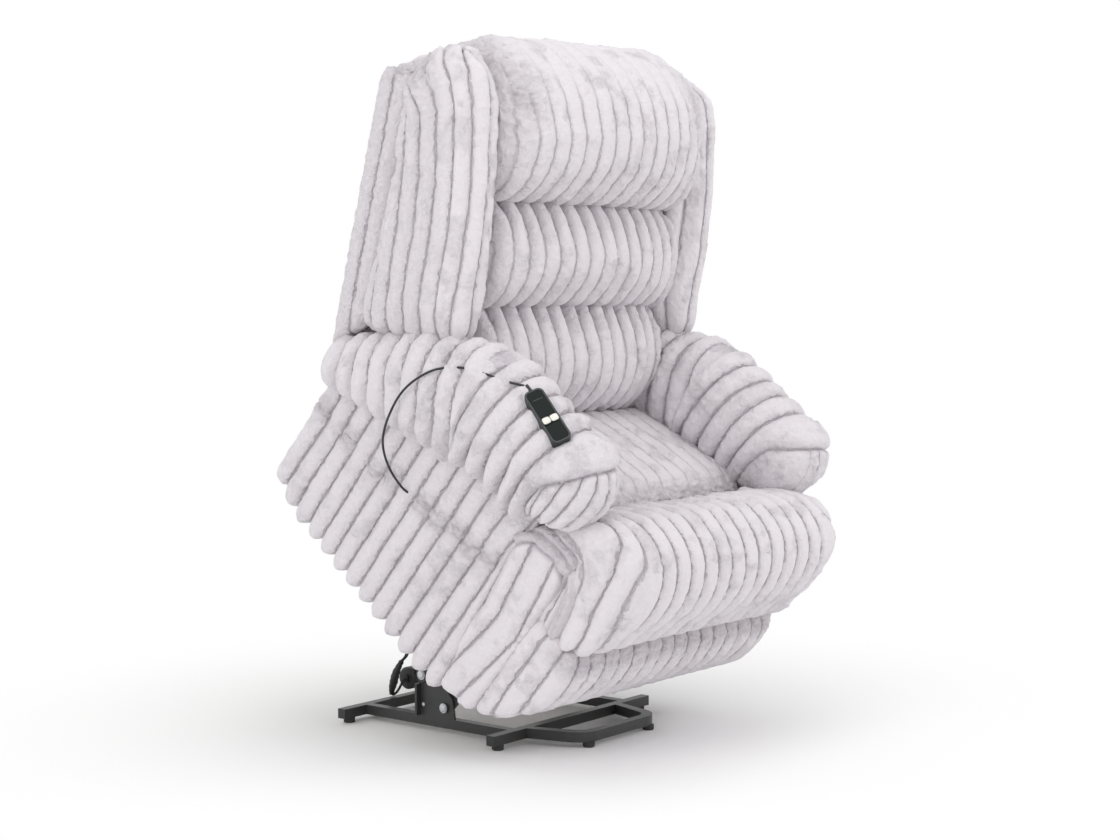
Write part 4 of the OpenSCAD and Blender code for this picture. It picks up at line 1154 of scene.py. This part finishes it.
def along_arm(p):
    """Distance back along the arm's middle line."""
    runs = np.linalg.norm(np.diff(ARM_LINE, axis=0), axis=1)
    starts = np.concatenate([[0], np.cumsum(runs)])
    best, along = np.full(len(p), 1e9), np.zeros(len(p))
    for i, run in enumerate(runs):
        d = (ARM_LINE[i + 1] - ARM_LINE[i]) / run
        t = (p[:, 1:] - ARM_LINE[i]) @ d
        gap = np.linalg.norm(p[:, 1:] - ARM_LINE[i] - np.clip(t, 0, run)[:, None] * d, axis=1)
        t = np.maximum(t, 0) if i == len(runs) - 1 else np.clip(t, 0, run)
        along = np.where(gap < best, starts[i] + t, along)
        best = np.minimum(best, gap)
    return along


def arm_shape_for(side):
    """The shape of the left arm, side -1, or the right arm, side 1."""
    def arm_shape(p, n):
        """Ribs across the arm, leaning into a fold over its front, with small ribs fanned below it."""
        x = side * (p[:, 0] - side * ARM_X)
        beyond = (p[:, 1:] - FOLD_AT) @ FOLD_UP
        far = ramp(p[:, 1], 70, 230)
        s = beyond * (1 - far) + along_arm(p) * far + 0.10 * x + wander(p, 130, 5, 5)
        h, k = ribs(s, ARM_PITCH)[:2]
        turn = np.arctan2(x, np.maximum(ARM_LINE[0][0] + 25 - p[:, 1], 1))
        fan = turn * ARM_R + wander(p, 90, 3, 45)
        fan_h = ribs(fan, FAN_PITCH)[0]
        below = 1 - ramp(s, -5, 4)
        outer = ramp(x, -50, -5)
        around = np.degrees(np.arctan2(p[:, 2] - 545, x))
        dent = crumple(k, around, 22, 41)
        # the ribs end in bulges low on the outside, over the side cover
        low_out = ramp(x, 0, 50) * ramp(seam_below_arm(p[:, 1]) + 75 - p[:, 2], 0, 50)
        relief = (19 * (h - 0.55) - 4 * dent) * (1 - below) + below * (10 * outer * (fan_h - 0.5) - 5)
        relief = relief + low_out * 20 * (h - 0.45) * (1 - below)
        run = (ARM_LINE[-1] - ARM_LINE[-2]) / np.linalg.norm(ARM_LINE[-1] - ARM_LINE[-2])
        rear_end = ramp(n[:, 1:] @ run, 0.75, 0.95) * ramp(p[:, 1], 700, 760)
        relief = relief * (1 - rear_end)
        offset = n * relief[:, None]
        offset[:, 2] -= low_out * 14 * (h - 0.4) * (1 - below)
        # the front end stands out a little, sags, and laps down over the seat's edge
        offset[:, 0] += side * 8 * ramp(x, 0, 60) * (1 - ramp(p[:, 1], 130, 300))
        sag = ramp(-n[:, 2], 0.2, 0.7) * (1 - ramp(p[:, 1], 200, 260))
        offset[:, 2] -= 16 * sag
        offset[:, 2] -= 8 * ramp(-n[:, 2], 0.0, 0.5) * ramp(-x, 20, 50)
        # the cover is twisted into a swirl where the fold ends outside
        swirl = near(np.linalg.norm(p[:, 1:] - FOLD_AT, axis=1), 34) * ramp(x, 20, 60)
        bump, fold = gathers(p, 22, 47)
        offset += n * (4 * swirl * bump - 5 * near(s, 5) * (1 - far))[:, None]
        line = (1 - 0.25 * dent) * (1 - below) * (1 - rear_end) + below * outer
        # fold is painted shade in the dents, in the swirl's gathers and along the fold over the front
        return dict(offset=offset, rib=np.where(s < 0, fan / FAN_PITCH, s / ARM_PITCH), line=0.9 * line,
                    fold=np.maximum.reduce([0.06 * dent, 0.45 * swirl * fold,
                                            0.75 * near(s, 4) * (1 - far)]),
                    ruffle=np.maximum(0.5 * dent, swirl), rough=0.2)
    return arm_shape


PILLOW_RELIEF = 9.0
HEAD_ABOVE, LUMBAR_BELOW = 900, 500         # heights that tell the head and the lower pillow apart


def pillow_shape_for(low, high, half, seed, crown):
    """The shape of a back pillow between two heights, of a half width, crowned forward by some."""
    def pillow_shape(p, n):
        """Upright ribs, pinched to a notch at the seams above and below."""
        front = ramp(n[:, 1:] @ BACK_FORE, -0.1, 0.4)
        edge = np.abs(p[:, 0]) / half
        u = p[:, 0] * (1 + 0.07 * edge ** 2) + wander(p, 170, 4, seed)
        h, k, d = ribs(u)
        near_low = np.exp(-np.clip(p[:, 2] - low, 0, None) / 24)
        near_high = np.exp(-np.clip(high - p[:, 2], 0, None) / 24) if high < HEAD_ABOVE else 0 * d
        pinch = np.maximum(near_low, near_high)
        notch = (1 - d) ** 1.4 * pinch
        dent = crumple(k, p[:, 2], 60, seed)
        fade = 1 - 0.75 * ramp(p[:, 2], 1035, 1085)
        corner = np.exp(-((np.abs(p[:, 0]) - half + 15) / 50) ** 2 - ((p[:, 2] - 1045) / 42) ** 2)
        bump, fold = gathers(p, 30, seed + 4)
        relief = PILLOW_RELIEF * (h - 0.55) - 0.25 * PILLOW_RELIEF * dent
        relief = relief * fade - 12 * notch + corner * (6 * bump - 8)
        offset = n * (relief * (0.2 + 0.8 * front))[:, None]
        bulge = crown * (1 - edge ** 2) - 0.9 * crown * edge ** 4
        if high > HEAD_ABOVE:
            # the top slopes down to the left
            left = ramp(-p[:, 0], 20, 250)
            offset[:, 2] -= (6 + 12 * left - 9 * ramp(p[:, 0], 0, 260)) * ramp(p[:, 2], 960, 1050)
        offset[:, 1] += BACK_FORE[0] * bulge * front
        offset[:, 2] += BACK_FORE[1] * bulge * front
        if low < LUMBAR_BELOW:
            # the underside comes down on the seat
            offset[:, 2] -= 16 * ramp(-n[:, 2], 0.1, 0.6)
        # painted shade in the notches at the seams, the dents and the gathered top corners
        folds = np.maximum.reduce([0.9 * notch * (d < 0.55), 0.05 * dent, 0.5 * corner * fold])
        return dict(offset=offset, rib=u / RIB, line=(0.3 + 0.35 * front) * fade * (1 - corner),
                    fold=folds, ruffle=np.maximum(corner, 0.5 * ramp(edge, 0.8, 1.0)))
    return pillow_shape


WING_EDGE = np.array([(498, 480), (565, 615), (632, 750), (703, 862), (800, 985), (850, 1024),
                      (960, 1060)], float)      # middle line of a wing's rounded front, back and up
WING_X, WING_EDGE_R = 392.0, 30.0
WING_PITCH, WING_SHIFT = 46.0, 8.0


def behind_edge(p):
    """Distance behind the middle line of a wing's front edge, negative ahead of it."""
    best, signed = np.full(len(p), 1e9), np.zeros(len(p))
    for a, b in zip(WING_EDGE[:-1], WING_EDGE[1:]):
        d = (b - a) / np.linalg.norm(b - a)
        t = np.clip((p[:, 1:] - a) @ d, 0, np.linalg.norm(b - a))
        off = p[:, 1:] - a - t[:, None] * d
        gap = np.linalg.norm(off, axis=1)
        side = off @ np.array([d[1], -d[0]])
        signed = np.where(gap < best, np.sign(side) * gap, signed)
        best = np.minimum(best, gap)
    return signed


def wing_shape_for(side):
    """The shape of the left wing, side -1, or the right wing, side 1."""
    def wing_shape(p, n):
        """Ribs that follow the wing's front edge and are gathered over its top."""
        s = up_back(p)[0]
        reach = behind_edge(p)
        x = side * (p[:, 0] - side * WING_X)
        around = np.arctan2(x, np.maximum(-reach, 1e-3)) * WING_EDGE_R
        u = around + np.sign(x) * np.maximum(reach, 0) + wander(p, 160, 5, 6)
        h, k = ribs(u + WING_SHIFT, WING_PITCH)[:2]
        dent = crumple(k, s, 40, 51)
        top = ramp(s, 560, 605)
        bump, fold = gathers(p, 30, 53)
        rear_top = top * ramp(reach, 40, 90)
        relief = (13 * (h - 0.5) - 5 * dent * h) * (1 - 0.6 * rear_top) + 9 * rear_top * bump
        foot = 1 - ramp(s, 95, 150)
        offset = n * (relief + 4 * foot)[:, None]
        # the foot hangs down over the arm, the rear top droops, and the front edge is drawn back
        offset[:, 1:] -= BACK_UP * (foot * (18 + 10 * ramp(reach, 40, 110)))[:, None]
        offset[:, 1:] -= BACK_UP * (22 * ramp(reach, 62, 122) * ramp(s, 480, 620))[:, None]
        offset[:, 1:] -= BACK_FORE * (9 * (1 - ramp(reach, -10, 40)))[:, None]
        # fold is painted shade in the dents and the gathers over the rear top
        return dict(offset=offset, rib=(u + WING_SHIFT) / WING_PITCH, line=0.85 - 0.65 * rear_top,
                    fold=np.maximum(0.06 * dent, 0.6 * rear_top * fold),
                    ruffle=np.maximum.reduce([0.45 * dent, rear_top, 0.5 * ramp(reach, 30, 80)]))
    return wing_shape


COVER_HALF, COVER_ROUND, COVER_DEEP = 396.0, 40.0, 95.0
COVER_PITCH, COVER_SHIFT = 50.0, 12.0
CHEEK_LAP, CORNER_DROOP, FOOT_LAP = 26, 24, 52      # how far its parts hang down


def rear_shape(p, n):
    """Ribs up the sides and back of the rear cover, carried round its rounded corners."""
    s, t = up_back(p)
    x = np.abs(p[:, 0])
    flat_side = COVER_DEEP - COVER_ROUND
    corner = COVER_ROUND * math.pi / 2
    qx, qt = np.maximum(x - COVER_HALF + COVER_ROUND, 0), np.maximum(-t - flat_side, 0)
    round_u = flat_side + COVER_ROUND * np.arctan2(qt, np.maximum(qx, 1e-3))
    u_side = np.where(qt > 0, round_u, np.clip(-t, -40, flat_side))
    u_back = flat_side + corner + COVER_HALF - COVER_ROUND - x
    back = np.where(x > COVER_HALF - COVER_ROUND, ramp(n[:, 1:] @ BACK_UP, 0.5, 0.9), 1.0)
    u = u_side * (1 - back) + u_back * back + wander(p, 170, 4, 7) + COVER_SHIFT
    h, k = ribs(u, COVER_PITCH)[:2]
    dent = crumple(k, s, 60, 61)
    top = ramp(s, 570, 610) * ramp(x, 300, 360)
    bump, fold = gathers(p, 32, 63)
    relief = (11 * (h - 0.5) - 2.5 * dent) * (1 - 0.5 * top) + 8 * top * bump
    offset = n * relief[:, None]
    # the cheeks beside the arms, the top corners and the foot over the hinges hang down
    cheek = ramp(x, 345, 385) * ramp(t, -110, -50)
    offset[:, 1:] -= BACK_UP * (CHEEK_LAP * (1 - ramp(s, 60, 170)) * cheek)[:, None]
    offset[:, 1:] -= BACK_UP * (CORNER_DROOP * ramp(x, 300, 390) * ramp(s, 520, 620))[:, None]
    offset[:, 1:] -= BACK_UP * (FOOT_LAP * (1 - ramp(s, 20, 110)) * ramp(-t, 62, 88))[:, None]
    # fold is painted shade in the dents and the gathers at the top corners
    return dict(offset=offset, rib=u / COVER_PITCH, line=1 - 0.6 * top,
                fold=np.maximum(0.05 * dent, 0.5 * top * fold),
                ruffle=np.maximum.reduce([0.35 * dent, top, 0.6 * ramp(x, 380, 392)]))


def dust_shape(p, n):
    """Low upright ribs on the panel that closes the rear below the back."""
    relief, rib, dent = plain_ribs(p[:, 0] + RIB / 2 + wander(p), p[:, 2], 6.0, 71, 0.3)[:3]
    # fold is painted shade in the dents
    return dict(offset=n * relief[:, None], rib=rib, fold=0.05 * dent)


CHASSIS, BACK, FOOTREST = "chassis", "back", "footrest"
HEAD_SHAPE = pillow_shape_for(804, 1080, 316, 81, 12.0)
MIDDLE_SHAPE = pillow_shape_for(617, 804, 316, 82, 12.0)
LOWER_SHAPE = pillow_shape_for(418, 617, 302, 83, 10.0)
SOFT_PIECES = [
    # node, body, sewn shape, cloth pressure, most that the cloth may move a point in metres,
    # relaxing (share, times), how far it is filled out again in metres
    ("seat_cushion", CHASSIS, seat_shape, 2.0, 0.007, (0.5, 8), 0.004),
    ("footrest_roll", FOOTREST, roll_shape, 2.0, 0.005, (0.5, 36), 0.011),
    ("footrest_apron", FOOTREST, apron_shape, 0.0, 0.010, (0.5, 14), 0.008),
    ("left_footrest_side", FOOTREST, footrest_side_shape, 0.0, 0.010, (0.5, 6), 0.005),
    ("right_footrest_side", FOOTREST, footrest_side_shape, 0.0, 0.010, (0.5, 6), 0.005),
    ("left_side_cover", CHASSIS, side_shape, 0.0, 0.010, (0.5, 6), 0.005),
    ("right_side_cover", CHASSIS, side_shape, 0.0, 0.010, (0.5, 6), 0.005),
    ("left_arm", CHASSIS, arm_shape_for(-1), 3.0, 0.012, (0.5, 6), 0.008),
    ("right_arm", CHASSIS, arm_shape_for(1), 3.0, 0.012, (0.5, 6), 0.008),
    ("rear_dust_panel", CHASSIS, dust_shape, 0.0, 0.006, (0.5, 3), 0.001),
    ("rear_cover", BACK, rear_shape, 0.0, 0.014, (0.5, 26), 0.009),
    ("head_pillow", BACK, HEAD_SHAPE, 4.0, 0.012, (0.5, 18), 0.009),
    ("middle_pillow", BACK, MIDDLE_SHAPE, 4.0, 0.012, (0.5, 16), 0.009),
    ("lower_pillow", BACK, LOWER_SHAPE, 4.0, 0.012, (0.5, 14), 0.008),
    ("left_wing", BACK, wing_shape_for(-1), 3.0, 0.010, (0.5, 16), 0.006),
    ("right_wing", BACK, wing_shape_for(1), 3.0, 0.010, (0.5, 16), 0.006),
]

for i, (node, body, shape, pressure, cap, relaxing, grow) in enumerate(SOFT_PIECES):
    piece = soft_base(node, node + "_plush", grow, pressure, cap, relaxing,
                      REAR_COVER_VOXEL if node == "rear_cover" else VOXEL)
    finish_soft(piece, shape, node, body, seed=100 + 7 * i)


# ---- studio ----
FLOOR_REACH = 14.0
FLOOR_COLOUR = (0.96, 0.96, 0.957)
FLOOR_FADE = (0.45, 1.5)        # distances from the middle between which the floor fades to white
SKY_LIGHT = 0.96


def make_floor():
    """A pale floor that takes the shadow and fades to the white backdrop a little way out."""
    mesh = bpy.data.meshes.new("studio_floor")
    r = FLOOR_REACH
    mesh.from_pydata([(-r, -r, 0), (r, -r, 0), (r, r, 0), (-r, r, 0)], [], [(0, 1, 2, 3)])
    floor = link(bpy.data.objects.new("studio_floor", mesh))
    m, n, l, bsdf = material("pale_floor")
    bsdf.inputs["Base Color"].default_value = (*FLOOR_COLOUR, 1)
    bsdf.inputs["Roughness"].default_value = 0.9
    bsdf.inputs["Specular IOR Level"].default_value = 0.1
    coord, distance, path = (n.new("ShaderNodeTexCoord"), n.new("ShaderNodeVectorMath"),
                             n.new("ShaderNodeLightPath"))
    distance.operation = "LENGTH"
    fade, seen, amount = (n.new("ShaderNodeMapRange"), n.new("ShaderNodeMath"),
                          n.new("ShaderNodeMath"))
    fade.interpolation_type = "SMOOTHSTEP"
    fade.inputs["From Min"].default_value = FLOOR_FADE[0]
    fade.inputs["From Max"].default_value = FLOOR_FADE[1]
    seen.operation, amount.operation = "MAXIMUM", "MULTIPLY"
    white, mix = n.new("ShaderNodeEmission"), n.new("ShaderNodeMixShader")
    l.new(coord.outputs["Object"], distance.inputs[0])
    l.new(distance.outputs["Value"], fade.inputs["Value"])
    l.new(path.outputs["Is Camera Ray"], seen.inputs[0])
    l.new(path.outputs["Is Glossy Ray"], seen.inputs[1])
    l.new(fade.outputs["Result"], amount.inputs[0])
    l.new(seen.outputs["Value"], amount.inputs[1])
    l.new(amount.outputs["Value"], mix.inputs["Fac"])
    l.new(bsdf.outputs["BSDF"], mix.inputs[1])
    l.new(white.outputs["Emission"], mix.inputs[2])
    l.new(mix.outputs["Shader"], n["Material Output"].inputs["Surface"])
    mesh.materials.append(m)


def make_light(name, at, toward, size, power):
    """A round soft lamp, its width in metres and its power in watts."""
    data = bpy.data.lights.new(name, "AREA")
    data.shape = "DISK"
    data.size = size
    data.energy = power
    lamp = link(bpy.data.objects.new(name, data))
    lamp.location = at
    lamp.rotation_euler = (Vector(toward) - Vector(at)).to_track_quat("-Z", "Y").to_euler()


def make_world():
    """Even white light from all round, and a white backdrop for the camera and for gloss."""
    world = bpy.data.worlds.new("studio")
    world.use_nodes = True
    n, l = world.node_tree.nodes, world.node_tree.links
    n.clear()
    out = n.new("ShaderNodeOutputWorld")
    light, seen = n.new("ShaderNodeBackground"), n.new("ShaderNodeBackground")
    light.inputs["Strength"].default_value = SKY_LIGHT
    seen.inputs["Color"].default_value = (1, 1, 1, 1)
    path = n.new("ShaderNodeLightPath")
    any_seen = n.new("ShaderNodeMath")
    any_seen.operation = "MAXIMUM"
    mix = n.new("ShaderNodeMixShader")
    l.new(path.outputs["Is Camera Ray"], any_seen.inputs[0])
    l.new(path.outputs["Is Glossy Ray"], any_seen.inputs[1])
    l.new(any_seen.outputs["Value"], mix.inputs["Fac"])
    l.new(light.outputs["Background"], mix.inputs[1])
    l.new(seen.outputs["Background"], mix.inputs[2])
    l.new(mix.outputs["Shader"], out.inputs["Surface"])
    bpy.context.scene.world = world


make_floor()
make_world()
make_light("overhead", (-0.4, -0.6, 4.2), (0, 0, 0.6), 3.2, 26)
make_light("front_right", (1.8, -3.6, 2.4), (0, 0, 0.8), 2.2, 30)
make_light("front_left", (-4.2, -0.6, 2.6), (0, 0, 0.8), 2.6, 44)
bpy.context.scene.view_settings.view_transform = "Standard"
